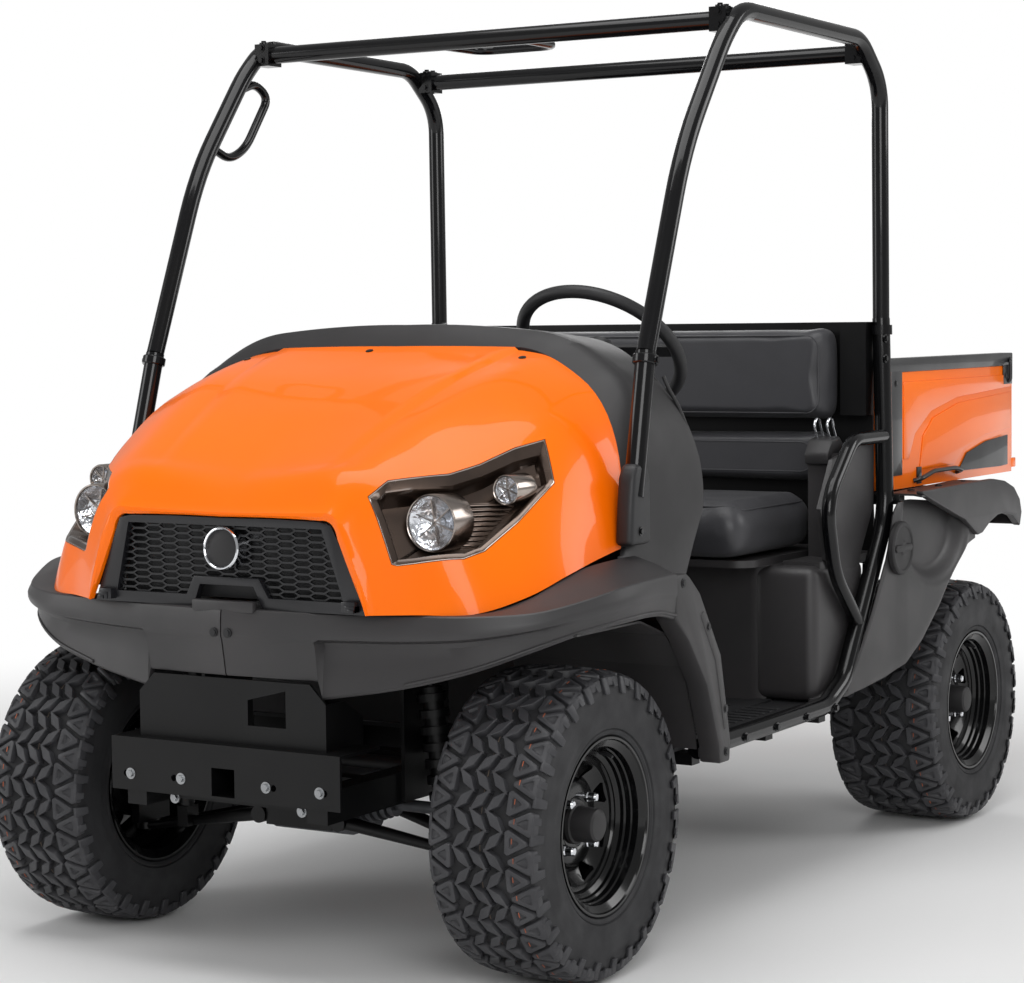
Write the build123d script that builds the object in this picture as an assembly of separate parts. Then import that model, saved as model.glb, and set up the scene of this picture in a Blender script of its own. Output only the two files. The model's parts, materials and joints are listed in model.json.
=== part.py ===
"""Compact utility side-by-side with a bench seat, an open tubular roll frame and a dump bed.

Frame: +Z up, -Y forward, +X the vehicle's left. The origin is on the ground, in the centre of the
vehicle's plan. Millimetres throughout.
"""

import os
from math import cos, pi, radians, sin, tau

from build123d import *

# ---------------------------------------------------------------- driving dimensions
OVERALL_LENGTH = 2650.0
WHEELBASE = 1810.0
FRONT_OVERHANG = 344.0

# Wheels and tyres
TYRE_RADIUS = 295.0
FRONT_TRACK_HALF = 527.0
REAR_TRACK_HALF = 529.0
FRONT_TYRE_WIDTH = 229.0
REAR_TYRE_WIDTH = 274.0
TYRE_WALL = 13.0
TREAD_TEETH = 12
TREAD_DEPTH = 14.0
TREAD_HALF_SHARE = 0.87
TYRE_FACETS = 24
RIM_FLANGE_RADIUS = 168.0
RIM_SEAT_RADIUS = 151.0
RIM_WELL_RADIUS = 131.0
RIM_WALL = 4.5
RIM_LIP = 3.0
FRONT_RIM_HALF = 101.0
REAR_RIM_HALF = 123.0
RIM_DISC_SETBACK = 62.0
RIM_WINDOWS = 8
HUB_RADIUS = 44.0
HUB_LENGTH = 34.0
HUB_CAP_RADIUS = 31.0
HUB_CAP_LENGTH = 58.0
SPINDLE_RADIUS = 18.0

# Front suspension and steering
KINGPIN_X = 470.0
KINGPIN_RADIUS = 8.0
KINGPIN_LOW_Z = 196.0
KINGPIN_HIGH_Z = 392.0
BALL_EYE_RADIUS = 18.0
BALL_EYE_HEIGHT = 14.0
UPRIGHT_THICK = 20.0
UPRIGHT_WIDTH = 100.0
DRUM_RADIUS = 82.0
DRUM_WIDTH = 34.0
CV_BALL_RADIUS = 16.0
CV_BALL_INSET = 36.0
UPRIGHT_HOLE_RADIUS = 38.0
HALF_SHAFT_RADIUS = 12.0
ARM_RADIUS = 14.0
SLEEVE_RADIUS = 17.0
LOWER_ARM_PIVOT_X = 95.0
LOWER_ARM_PIVOT_Z = 270.0
LOWER_ARM_SPREAD = 92.0
UPPER_ARM_PIVOT_X = 262.0
UPPER_ARM_PIVOT_Z = 418.0
UPPER_ARM_SPREAD = 58.0
SHOCK_FORWARD = 54.0
STEER_ARM_REACH = 92.0
RACK_Z = 348.0
RACK_RADIUS = 8.0
RACK_HOUSING_RADIUS = 22.0
RACK_HOUSING_HALF = 184.0
BOOT_LENGTH = 66.0
SHOCK_RADIUS = 30.0
STEERING_WHEEL_X = 301.0
STEERING_WHEEL_BACK = 589.0
STEERING_WHEEL_Z = 1176.0
STEERING_WHEEL_RADIUS = 175.0
STEERING_RIM_RADIUS = 14.0
STEERING_TILT = 46.8
COLUMN_RADIUS = 27.0

# Chassis
RAIL_X = 212.0
RAIL_WIDTH = 46.0
RAIL_LOW_Z = 318.0
RAIL_HEIGHT = 61.0
REAR_RAIL_LIFT = 122.0
FLOOR_Z = 379.0
FLOOR_THICK = 8.0
CAB_HALF_WIDTH = 590.0

# Roll frame
POST_RADIUS = 19.0
STUB_RADIUS = 20.0
COLLAR_RADIUS = 25.0
BAR_RADIUS = 19.0
LOOP_RADIUS = 10.0
GUARD_RADIUS = 16.0
ROOF_Z = 1867.0
HOOP_X = 602.0
SILL_X = 620.0
SILL_Z = 381.0

# Front bodywork
PANEL = 5.0
SEAM_GAP = 2.0
BODY_HALF_WIDTH = 695.0

# Seat
SEAT_HALF_WIDTH = 500.0
CUSHION_LOW_Z = 706.0
CUSHION_TOP_Z = 836.0
CUSHION_LENGTH = 455.0
BACK_HALF_WIDTH = 515.0
BACK_TOP_Z = 1224.0
BACK_SPLIT_Z = 982.0
BACK_THICK = 84.0
SOFT_GAP = 0.3

# Dump bed
BED_HALF_WIDTH = 600.0
BED_FRONT = -411.0
BED_LENGTH = 826.0
BED_LOW_Z = 832.0
BED_FLOOR_Z = 866.0
BED_RAIL_Z = 1138.0
BED_RAIL_HEIGHT = 33.0
BED_WALL = 4.0
BED_SKIN_GAP = 30.0
TAILGATE_THICK = 26.0
TAILGATE_HINGE_RADIUS = 9.0
BED_HINGE_BACK = 330.0
BED_HINGE_Z = 808.0
BED_HINGE_X = 215.0

RUNNING_GAP = 0.3
BEAM_HALF = 585.0

# ---------------------------------------------------------------- derived places
FRONT_AXLE_Y = -OVERALL_LENGTH / 2 + FRONT_OVERHANG
REAR_AXLE_Y = FRONT_AXLE_Y + WHEELBASE
HALF_LENGTH = OVERALL_LENGTH / 2
AXLE_Z = TYRE_RADIUS
BED_BEAMS = (REAR_AXLE_Y - 410, REAR_AXLE_Y - 120)


def fy(back):
    """Y of a place a distance behind the front axle."""
    return FRONT_AXLE_Y + back


def ry(back):
    """Y of a place a distance behind the rear axle."""
    return REAR_AXLE_Y + back


# ---------------------------------------------------------------- small shape helpers
def block(x, y, z):
    """Box from three (low, high) pairs."""
    size = (x[1] - x[0], y[1] - y[0], z[1] - z[0])
    return Pos((x[0] + x[1]) / 2, (y[0] + y[1]) / 2, (z[0] + z[1]) / 2) * Box(*size)


def rod(start, end, radius, end_radius=None):
    """Round bar or cone between two points."""
    start, end = Vector(*start), Vector(*end)
    plane = Plane(start, z_dir=end - start)
    length = (end - start).length
    if end_radius is None:
        solid = Cylinder(radius, length, align=(Align.CENTER, Align.CENTER, Align.MIN))
    else:
        solid = Cone(radius, end_radius, length, align=(Align.CENTER, Align.CENTER, Align.MIN))
    return plane * solid


def bar(start, end, width, height):
    """Rectangular bar between two points, its width kept level."""
    start, end = Vector(*start), Vector(*end)
    along = (end - start).normalized()
    across = Vector(0, 0, 1).cross(along).normalized()
    plane = Plane(start, x_dir=across, z_dir=along)
    return plane * extrude(Rectangle(width, height), (end - start).length)


def side_plate(outline, x_low, x_high):
    """Flat outline of (y, z) points, thick along X."""
    face = Plane.YZ.offset(x_low) * make_face(Polyline(*outline, close=True))
    return extrude(face, x_high - x_low, dir=(1, 0, 0))


def front_plate(outline, y_low, y_high):
    """Flat outline of (x, z) points, thick along Y."""
    plane = Plane((0, y_low, 0), x_dir=(1, 0, 0), z_dir=(0, -1, 0))
    face = plane * make_face(Polyline(*outline, close=True))
    return extrude(face, y_high - y_low, dir=(0, 1, 0))


def level_plate(outline, z_low, z_high):
    """Flat outline of (x, y) points, thick along Z."""
    face = Plane.XY.offset(z_low) * make_face(Polyline(*outline, close=True))
    return extrude(face, z_high - z_low, dir=(0, 0, 1))


def strip_outline(points, thick):
    """Closed outline of a bent strip that lies on one side of its (u, v) points."""
    inner = []
    for index, (u, v) in enumerate(points):
        before = points[max(index - 1, 0)]
        after = points[min(index + 1, len(points) - 1)]
        first = Vector(u - before[0], v - before[1]) if index else None
        second = Vector(after[0] - u, after[1] - v) if index < len(points) - 1 else None
        first = (first or second).normalized()
        second = (second or first).normalized()
        normal = Vector(-first.Y - second.Y, first.X + second.X).normalized()
        reach = thick / max(normal.X * -first.Y + normal.Y * first.X, 0.3)
        inner.append((u + normal.X * reach, v + normal.Y * reach))
    return list(points) + inner[::-1]


def tube(points, radii, radius):
    """Round tube along straight runs with a bend radius at each inner point."""
    if radii:
        path = FilletPolyline(*points, radius=radii)
    else:
        path = Line(*points)
    section = Plane(path @ 0, z_dir=path % 0) * Circle(radius)
    return sweep(section, path=path)


def mirrored(shape):
    """The same piece on the other side of the vehicle."""
    return mirror(shape, about=Plane.YZ)


def both(shape):
    """A piece and its mirror image."""
    return Compound([shape, mirrored(shape)])


def ruled(rings):
    """Solid through closed rings of (x, y, z) points, straight from ring to ring."""
    faces = [make_face(Polyline(*ring, close=True)) for ring in rings]
    return loft(faces, ruled=True)


def arch_face(y, half):
    """Symmetric section across the body at y: arcs over the top and straight at the foot.

    half holds (x, z) from the centre line out to the foot: centre, arc middle, ridge, arc middle,
    shoulder, arc middle, foot.
    """
    left = [(x, y, z) for x, z in half]
    right = [(-x, y, z) for x, z in half]
    edges = []
    for side in (left, right):
        for index in (0, 2, 4):
            edges.append(ThreePointArc(side[index], side[index + 1], side[index + 2]))
    edges.append(Line(left[6], right[6]))
    return make_face(edges)


def inset_half(half, gap):
    """The same half section moved inwards by a wall, with a deep foot."""
    moved = []
    for index, (x, z) in enumerate(half):
        before = half[max(index - 1, 0)]
        after = half[min(index + 1, 6)]
        along = Vector(after[0] - before[0], after[1] - before[1]).normalized()
        moved.append((max(x + along.Y * gap, 0) if index else 0, z - along.X * gap if index else z - gap))
    foot_x, foot_z = moved[6]
    moved[6] = (foot_x, foot_z - 4)
    return moved


os.makedirs("parts", exist_ok=True)


def write(name, shape):
    """One STEP file for one sub-part."""
    export_step(shape, f"parts/{name}.step")


# ---------------------------------------------------------------- wheels
def facet_ring(x, radius, count):
    """Regular polygon about the X axis whose flats just clear a radius."""
    corner = radius / cos(pi / count)
    return [(x, corner * cos(tau * k / count), corner * sin(tau * k / count)) for k in range(count)]


def tread_band(x_low, x_high, phase):
    """One band of lugs round the tyre, its teeth shifted by phase, a share of the pitch."""
    base = TYRE_RADIUS - TREAD_DEPTH
    outline = []
    for tooth in range(TREAD_TEETH):
        for share, radius in ((0.0, base), (0.05, TYRE_RADIUS), (0.55, TYRE_RADIUS), (0.6, base)):
            angle = tau * (tooth + phase + share) / TREAD_TEETH
            outline.append((radius * cos(angle), radius * sin(angle)))
    band = side_plate(outline, x_low, x_high)
    hole = ruled([facet_ring(x, base - TYRE_WALL, TYRE_FACETS) for x in (x_low - 1, x_high + 1)])
    return band - hole


def tyre(width, rim_half):
    """Faceted carcass about the X axis, open to the rim, with four staggered bands of lugs."""
    half = width / 2
    bead = RIM_SEAT_RADIUS + RUNNING_GAP
    seat = rim_half - 8
    flank = (TYRE_RADIUS + RIM_FLANGE_RADIUS) / 2
    tread_base = TYRE_RADIUS - TREAD_DEPTH - 5
    tread_half = half * TREAD_HALF_SHARE
    outer = [(seat, RIM_FLANGE_RADIUS), (half, flank + 8), (tread_half - 4, tread_base)]
    inner = [(seat, bead), (seat - TYRE_WALL, bead), (seat - TYRE_WALL + 1, RIM_FLANGE_RADIUS),
             (half - TYRE_WALL, flank), (half - 2.4 * TYRE_WALL, tread_base - TYRE_WALL)]
    skins = []
    for profile in (outer, inner):
        stations = [(-x, radius) for x, radius in profile] + profile[::-1]
        skins.append(ruled([facet_ring(x, radius, TYRE_FACETS) for x, radius in stations]))
    body = skins[0] - skins[1]
    for band, phase in enumerate((-0.05, 0.45, -0.05, 0.45)):
        low = -tread_half + band * tread_half / 2
        body += tread_band(low, low + tread_half / 2, phase)
    return body


def rim(rim_half):
    """Stepped steel rim about the X axis, with its disc, hub and cap. Outboard is +X."""
    disc_x = rim_half - RIM_DISC_SETBACK
    seat_in = rim_half - 14
    well_out = disc_x + 10
    well_in = -rim_half * 0.35
    outer = [
        (rim_half + RIM_LIP, RIM_FLANGE_RADIUS),
        (rim_half - 6, RIM_FLANGE_RADIUS - 3),
        (rim_half - 8, RIM_SEAT_RADIUS),
        (seat_in - 14, RIM_SEAT_RADIUS - 1),
        (seat_in - 22, RIM_SEAT_RADIUS - 8),
        (well_out + 8, RIM_SEAT_RADIUS - 9),
        (well_out, RIM_WELL_RADIUS),
        (well_in, RIM_WELL_RADIUS),
        (well_in - 14, RIM_SEAT_RADIUS - 1),
        (8 - rim_half, RIM_SEAT_RADIUS),
        (6 - rim_half, RIM_FLANGE_RADIUS - 3),
        (-rim_half - RIM_LIP, RIM_FLANGE_RADIUS),
    ]
    inner = [(x, r - RIM_WALL) for x, r in outer]
    inner[0] = (rim_half + RIM_LIP, RIM_FLANGE_RADIUS - 3)
    inner[1] = (rim_half - 6 + RIM_WALL, RIM_FLANGE_RADIUS - 6)
    inner[-2] = (6 - rim_half - RIM_WALL, RIM_FLANGE_RADIUS - 6)
    inner[-1] = (-rim_half - RIM_LIP, RIM_FLANGE_RADIUS - 3)
    barrel = revolve(make_face(Polyline(*(outer + inner[::-1]), close=True)), Axis.X)
    well = RIM_WELL_RADIUS - RIM_WALL / 2
    disc_profile = [
        (disc_x + 4, well),
        (disc_x + 4, well - 14),
        (disc_x - 12, 96),
        (disc_x - 6, 64),
        (disc_x - 6, 0),
        (disc_x - 12, 0),
        (disc_x - 12, 66),
        (disc_x - 18, 98),
        (disc_x - 2, well - 10),
        (disc_x - 2, well),
    ]
    disc = revolve(make_face(Polyline(*disc_profile, close=True)), Axis.X)
    window = [(-17, 113), (17, 113), (0, 76)]
    for index in range(RIM_WINDOWS):
        cutter = side_plate(window, disc_x - 40, disc_x + 30)
        disc -= Rot(360 * (index + 0.5) / RIM_WINDOWS, 0, 0) * cutter
    hub_x = disc_x - 6
    hub = rod((hub_x - HUB_LENGTH, 0, 0), (hub_x, 0, 0), HUB_RADIUS)
    cap = rod((hub_x - 2, 0, 0), (hub_x + HUB_CAP_LENGTH, 0, 0), HUB_CAP_RADIUS)
    bore = rod((hub_x - HUB_LENGTH - 1, 0, 0), (hub_x - 3, 0, 0), SPINDLE_RADIUS + RUNNING_GAP)
    return (barrel + disc + hub + cap) - bore


def hub_face(track_half, rim_half):
    """X of the hub's mounting face on the left side."""
    return track_half + rim_half - RIM_DISC_SETBACK - 6


for axle, y, track_half, width, rim_half in (
    ("front", FRONT_AXLE_Y, FRONT_TRACK_HALF, FRONT_TYRE_WIDTH, FRONT_RIM_HALF),
    ("rear", REAR_AXLE_Y, REAR_TRACK_HALF, REAR_TYRE_WIDTH, REAR_RIM_HALF),
):
    place = Pos(track_half, y, AXLE_Z)
    for piece, shape in (("tyre", tyre(width, rim_half)), ("rim", rim(rim_half))):
        placed = place * shape
        write(f"{axle}_{piece}_left", placed)
        write(f"{axle}_{piece}_right", mirrored(placed))

# ---------------------------------------------------------------- front knuckles
FRONT_HUB_FACE = hub_face(FRONT_TRACK_HALF, FRONT_RIM_HALF)
SPINDLE_END = FRONT_HUB_FACE - 10
DRUM_END = FRONT_HUB_FACE - HUB_LENGTH - 7
UPRIGHT_X = (KINGPIN_X - 24, KINGPIN_X - 24 + UPRIGHT_THICK)
PIN_LOW = (KINGPIN_LOW_Z - BALL_EYE_HEIGHT / 2, KINGPIN_LOW_Z + BALL_EYE_HEIGHT / 2 + 5.5)
PIN_HIGH = (KINGPIN_HIGH_Z - BALL_EYE_HEIGHT / 2 - 5.5, KINGPIN_HIGH_Z + BALL_EYE_HEIGHT / 2)
STEER_ARM_Z = (RACK_Z - 30, RACK_Z - 16)


def knuckle():
    """Left upright with ball pins, steering arm, spindle and brake drum."""
    half = UPRIGHT_WIDTH / 2
    low, high = PIN_LOW[1], PIN_HIGH[0]
    body = block(UPRIGHT_X, (fy(-half), fy(half)), (low, high))
    for z in ((low, low + 20), (high - 20, high)):
        body += block((UPRIGHT_X[0], KINGPIN_X + 16), (fy(-16), fy(16)), z)
    for pin in (PIN_LOW, PIN_HIGH):
        body += rod((KINGPIN_X, fy(0), pin[0]), (KINGPIN_X, fy(0), pin[1]), KINGPIN_RADIUS)
    body -= rod((UPRIGHT_X[0] - 1, fy(0), AXLE_Z), (UPRIGHT_X[1], fy(0), AXLE_Z), UPRIGHT_HOLE_RADIUS)
    drum_start = UPRIGHT_X[1]
    drum = rod((drum_start, fy(0), AXLE_Z), (DRUM_END, fy(0), AXLE_Z), DRUM_RADIUS - 16)
    drum += rod((KINGPIN_X + 16, fy(0), AXLE_Z), (DRUM_END, fy(0), AXLE_Z), DRUM_RADIUS)
    body += drum
    body += rod((drum_start, fy(0), AXLE_Z), (SPINDLE_END, fy(0), AXLE_Z), SPINDLE_RADIUS)
    arm_outline = [
        (UPRIGHT_X[0], fy(half - 14)),
        (UPRIGHT_X[0], fy(half + 14)),
        (KINGPIN_X - 11, fy(STEER_ARM_REACH + 10)),
        (KINGPIN_X + 11, fy(STEER_ARM_REACH + 10)),
        (KINGPIN_X + 11, fy(STEER_ARM_REACH - 14)),
        (UPRIGHT_X[1], fy(half - 14)),
    ]
    body += level_plate(arm_outline, *STEER_ARM_Z)
    stud = (KINGPIN_X, fy(STEER_ARM_REACH))
    body += rod((*stud, STEER_ARM_Z[1]), (*stud, STEER_ARM_Z[1] + 5), 5)
    return body


write("front_knuckle_left", knuckle())
write("front_knuckle_right", mirrored(knuckle()))

# ---------------------------------------------------------------- front suspension
LOWER_EYE = (KINGPIN_X, fy(0), KINGPIN_LOW_Z)
UPPER_EYE = (KINGPIN_X, fy(0), KINGPIN_HIGH_Z)
TOWER_X = UPPER_ARM_PIVOT_X - 12
SHOCK_TOP = (TOWER_X + 28, fy(-SHOCK_FORWARD), 560)


def eye(centre, radius, height, bore):
    """Flat ball-joint eye with its bore."""
    x, y, z = centre
    ring = rod((x, y, z - height / 2), (x, y, z + height / 2), radius)
    return ring - rod((x, y, z - height), (x, y, z + height), bore)


def wishbone(pivot_x, pivot_z, offsets, centre):
    """Two tubes from the frame pivots, each offset from the axle line, to one ball-joint eye."""
    x, y, z = centre
    bore = KINGPIN_RADIUS + RUNNING_GAP
    reach = x - BALL_EYE_RADIUS + 3
    arm = eye(centre, BALL_EYE_RADIUS, BALL_EYE_HEIGHT, bore)
    for offset, tip in zip(offsets, (-5, 5)):
        pivot = y + offset
        arm += rod((pivot_x, pivot, pivot_z), (reach, y + tip, z), ARM_RADIUS, BALL_EYE_HEIGHT / 2)
        arm += rod((pivot_x, pivot - 18, pivot_z), (pivot_x, pivot + 18, pivot_z), SLEEVE_RADIUS)
    return arm


lower_feet = (-LOWER_ARM_SPREAD, LOWER_ARM_SPREAD)
lower_arm = wishbone(LOWER_ARM_PIVOT_X, LOWER_ARM_PIVOT_Z, lower_feet, LOWER_EYE)
SHOCK_FOOT = (318, fy(-SHOCK_FORWARD), 262)
lower_arm += block((SHOCK_FOOT[0] - 13, SHOCK_FOOT[0] + 13), (fy(-SHOCK_FORWARD - 14), fy(-32)),
                   (218, SHOCK_FOOT[2] - 2.4))
UPPER_FEET = (4, UPPER_ARM_SPREAD)
upper_arm = wishbone(UPPER_ARM_PIVOT_X, UPPER_ARM_PIVOT_Z, UPPER_FEET, UPPER_EYE)
write("front_suspension_arms", Compound([both(lower_arm), both(upper_arm)]))

shock_low = Vector(*SHOCK_FOOT)
shock_run = Vector(*SHOCK_TOP) - shock_low


def shock_point(share):
    """A point on the shock's axis, 0 at the foot and 1 at the top."""
    return tuple(shock_low + shock_run * share)


shock = rod(shock_point(0), shock_point(0.5), 16)
shock += rod(shock_point(0.5), shock_point(1), 8)
for turn in range(7):
    share = 0.22 + turn * 0.105
    shock += rod(shock_point(share), shock_point(share + 0.05), SHOCK_RADIUS)
shock += rod(shock_point(0.2), shock_point(0.94), SHOCK_RADIUS - 9)
write("front_shocks", both(shock))

# Differential, half shafts and rack
DIFF_HALF = 92.0
diff = block((-DIFF_HALF, DIFF_HALF), (fy(-66), fy(58)), (236, 352))
diff = fillet(diff.edges().filter_by(Axis.X), 18)
DIFF_LUG_REACH = LOWER_ARM_SPREAD - 13
diff += block((-30, 30), (fy(-DIFF_LUG_REACH), fy(DIFF_LUG_REACH)), (262, 290))
half_shaft = rod((DIFF_HALF, fy(0), AXLE_Z), (KINGPIN_X - CV_BALL_INSET, fy(0), AXLE_Z), HALF_SHAFT_RADIUS)
half_shaft += Pos(KINGPIN_X - CV_BALL_INSET, fy(0), AXLE_Z) * Sphere(CV_BALL_RADIUS)
for ring in range(5):
    x = DIFF_HALF + ring * 15
    half_shaft += rod((x, fy(0), AXLE_Z), (x + 12, fy(0), AXLE_Z), 44 - 5 * ring)
write("front_drive", Compound([diff, both(half_shaft)]))

housing = rod((-RACK_HOUSING_HALF, fy(STEER_ARM_REACH), RACK_Z),
              (RACK_HOUSING_HALF, fy(STEER_ARM_REACH), RACK_Z), RACK_HOUSING_RADIUS)
boot_start = RAIL_X + RAIL_WIDTH / 2
boot_step = BOOT_LENGTH / 7
for ring in range(7):
    x = boot_start + ring * boot_step
    boot = rod((x, fy(STEER_ARM_REACH), RACK_Z), (x + 6, fy(STEER_ARM_REACH), RACK_Z), 21 - 1.2 * ring)
    boot += rod((x, fy(STEER_ARM_REACH), RACK_Z), (x + boot_step, fy(STEER_ARM_REACH), RACK_Z), 12)
    housing += boot + mirrored(boot)
bore_end = boot_start + BOOT_LENGTH + 5
housing -= rod((-bore_end, fy(STEER_ARM_REACH), RACK_Z), (bore_end, fy(STEER_ARM_REACH), RACK_Z),
               RACK_RADIUS + RUNNING_GAP)
write("steering_rack_housing", housing)
rack = rod((-KINGPIN_X + 10, fy(STEER_ARM_REACH), RACK_Z), (KINGPIN_X - 10, fy(STEER_ARM_REACH), RACK_Z),
           RACK_RADIUS)
for side in (-1, 1):
    x = side * KINGPIN_X
    rack += rod((x, fy(STEER_ARM_REACH), RACK_Z - 9), (x, fy(STEER_ARM_REACH), RACK_Z + 9), 13)
write("steering_rack_and_tie_rods", rack)

# ---------------------------------------------------------------- chassis
RAIL_TOP_Z = RAIL_LOW_Z + RAIL_HEIGHT
PLATE_HALF = 268.0
PLATE_Z = (346.0, 449.0)
PLATE_THICK = 6.0
PLATE_HOLES = (-233.0, -117.0, 117.0, 233.0)
PLATE_HOLE_Z = 378.0
PLATE_HOLE_RADIUS = 6.5
RECEIVER_HALF = 27.0
NOSE_Y = fy(-FRONT_OVERHANG) + PLATE_THICK
TAIL_Y = ry(425)
ENGINE_HALF = 172.0


rail_inner = RAIL_X - RAIL_WIDTH / 2
RACK_HOLE_REACH = SILL_X + 20
rack_hole = rod((-RACK_HOLE_REACH, fy(STEER_ARM_REACH), RACK_Z),
                (RACK_HOLE_REACH, fy(STEER_ARM_REACH), RACK_Z),
                RACK_RADIUS + 6)


def frame_rails():
    """Two rails that step up over the rear axle."""
    lift = REAR_RAIL_LIFT
    rail = [
        (NOSE_Y, RAIL_LOW_Z), (ry(-370), RAIL_LOW_Z), (ry(-210), RAIL_LOW_Z + lift),
        (TAIL_Y, RAIL_LOW_Z + lift), (TAIL_Y, RAIL_TOP_Z + lift),
        (ry(-225), RAIL_TOP_Z + lift), (ry(-385), RAIL_TOP_Z), (NOSE_Y, RAIL_TOP_Z),
    ]
    return both(side_plate(rail, rail_inner, rail_inner + RAIL_WIDTH)) - rack_hole


def cross_members():
    """Cross members, outriggers, pivot supports and engine mounts between and outside the rails."""
    lift = REAR_RAIL_LIFT
    rows = [
        (NOSE_Y + 195, RAIL_LOW_Z), (fy(150), RAIL_LOW_Z), (fy(420), RAIL_LOW_Z),
        (ry(-560), RAIL_LOW_Z), (ry(-30), RAIL_LOW_Z + lift), (ry(170), RAIL_LOW_Z + lift),
        (TAIL_Y - 20, RAIL_LOW_Z + lift),
    ]
    members = [block((-rail_inner, rail_inner), (y - 20, y + 20), (z + 6, z + RAIL_HEIGHT - 6))
               for y, z in rows]
    members.append(block((-rail_inner, rail_inner), (NOSE_Y + 90, NOSE_Y + 130),
                         (RAIL_LOW_Z, PLATE_Z[0] - 6)))
    outrigger = SILL_X - STUB_RADIUS + 3
    rail_outer = rail_inner + RAIL_WIDTH
    for y in (fy(420), fy(760), ry(-780)):
        arm = block((rail_outer, outrigger), (y - 17, y + 17), (RAIL_TOP_Z - 34, RAIL_TOP_Z - 8))
        members += [arm, mirrored(arm)]
    pivot_half = LOWER_ARM_PIVOT_X - SLEEVE_RADIUS
    under_rack = RACK_Z - RACK_HOUSING_RADIUS - RUNNING_GAP
    for y, high in ((fy(-LOWER_ARM_SPREAD), RAIL_LOW_Z + 16), (fy(LOWER_ARM_SPREAD), under_rack)):
        carrier = block((-rail_inner, rail_inner), (y - 13, y + 13), (RAIL_LOW_Z - 12, high))
        members.append(carrier + block((-pivot_half, pivot_half), (y - 13, y + 13), (252, RAIL_LOW_Z - 10)))
    for y, z in ((ry(-340), 392), (ry(-110), 470)):
        mount = block((ENGINE_HALF, rail_inner), (y - 22, y + 22), (z - 22, z + 22))
        members += [mount, mirrored(mount)]
    return Compound(members)


def shock_towers():
    """Towers on the front rails for the upper arms and the shock absorbers, and the bar across them."""
    rail_outer = rail_inner + RAIL_WIDTH
    tower = block((rail_outer, rail_outer + 8), (fy(-92), fy(66)), (RAIL_LOW_Z + 4, SHOCK_TOP[2] + 30))
    tower += block((rail_outer, SHOCK_TOP[0] + 22), (fy(-88), fy(-20)),
                   (SHOCK_TOP[2] + 1.4, SHOCK_TOP[2] + 11))
    for offset in UPPER_FEET:
        y = fy(offset)
        tower += block((rail_outer, UPPER_ARM_PIVOT_X - SLEEVE_RADIUS), (y - 12, y + 12), (402, 434))
    bar_across = block((-rail_outer, rail_outer), (fy(-60), fy(-20)), (556, SHOCK_TOP[2] + 30))
    return Compound([tower, mirrored(tower), bar_across])


write("frame_rails", frame_rails())
write("frame_cross_members", cross_members())
write("shock_towers", shock_towers())

floor = block((-CAB_HALF_WIDTH, CAB_HALF_WIDTH), (fy(352), ry(-740)), (FLOOR_Z, FLOOR_Z + FLOOR_THICK))
for rib in range(9):
    x = -0.8 * CAB_HALF_WIDTH + rib * 0.2 * CAB_HALF_WIDTH
    floor += block((x - 20, x + 20), (fy(420), ry(-802)),
                   (FLOOR_Z + FLOOR_THICK, FLOOR_Z + FLOOR_THICK + 4))
write("floor_pan", floor)

# Front implement plate with its receiver, and the bracket above it
plate_face = NOSE_Y - PLATE_THICK
plate = block((-PLATE_HALF, PLATE_HALF), (plate_face, plate_face + PLATE_THICK), PLATE_Z)
plate += block((-PLATE_HALF, PLATE_HALF), (plate_face, plate_face + 130),
               (PLATE_Z[1] - PLATE_THICK, PLATE_Z[1]))
plate += block((-PLATE_HALF, PLATE_HALF), (plate_face, plate_face + PLATE_THICK),
               (PLATE_Z[0], PLATE_Z[0] + PLATE_THICK))
for x in PLATE_HOLES:
    plate -= rod((x, plate_face - 5, PLATE_HOLE_Z), (x, plate_face + 20, PLATE_HOLE_Z), PLATE_HOLE_RADIUS)
receiver_z = (PLATE_Z[0] + 5, PLATE_Z[0] + 5 + 2 * RECEIVER_HALF)
plate -= block((-RECEIVER_HALF, RECEIVER_HALF), (plate_face - 5, plate_face + 50), receiver_z)
sleeve = block((-RECEIVER_HALF - 6, RECEIVER_HALF + 6), (plate_face + PLATE_THICK, plate_face + 170),
               (receiver_z[0] - 6, receiver_z[1] + 6))
sleeve -= block((-RECEIVER_HALF, RECEIVER_HALF), (plate_face - 5, plate_face + 180), receiver_z)

BRACKET_HALF = 219.0
BRACKET_TOP_Z = 572.0
BRACKET_SHOULDER_Z = 536.0
bracket_y = plate_face + 28
crown = BRACKET_HALF - 36
bracket = front_plate([(-BRACKET_HALF, PLATE_Z[1]), (BRACKET_HALF, PLATE_Z[1]),
                       (BRACKET_HALF, BRACKET_SHOULDER_Z), (crown, BRACKET_TOP_Z), (-crown, BRACKET_TOP_Z),
                       (-BRACKET_HALF, BRACKET_SHOULDER_Z)], bracket_y, bracket_y + 5)
window = front_plate([(40, 486), (128, 486), (128, 556), (40, 534)], bracket_y - 5, bracket_y + 15)
bracket -= window
cheek = side_plate([(bracket_y, PLATE_Z[1]), (bracket_y + 120, PLATE_Z[1]), (bracket_y + 120, 500),
                    (bracket_y + 60, BRACKET_SHOULDER_Z), (bracket_y, BRACKET_SHOULDER_Z)],
                   BRACKET_HALF - 5, BRACKET_HALF)
write("front_implement_plate", plate + sleeve + bracket + both(cheek))

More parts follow.
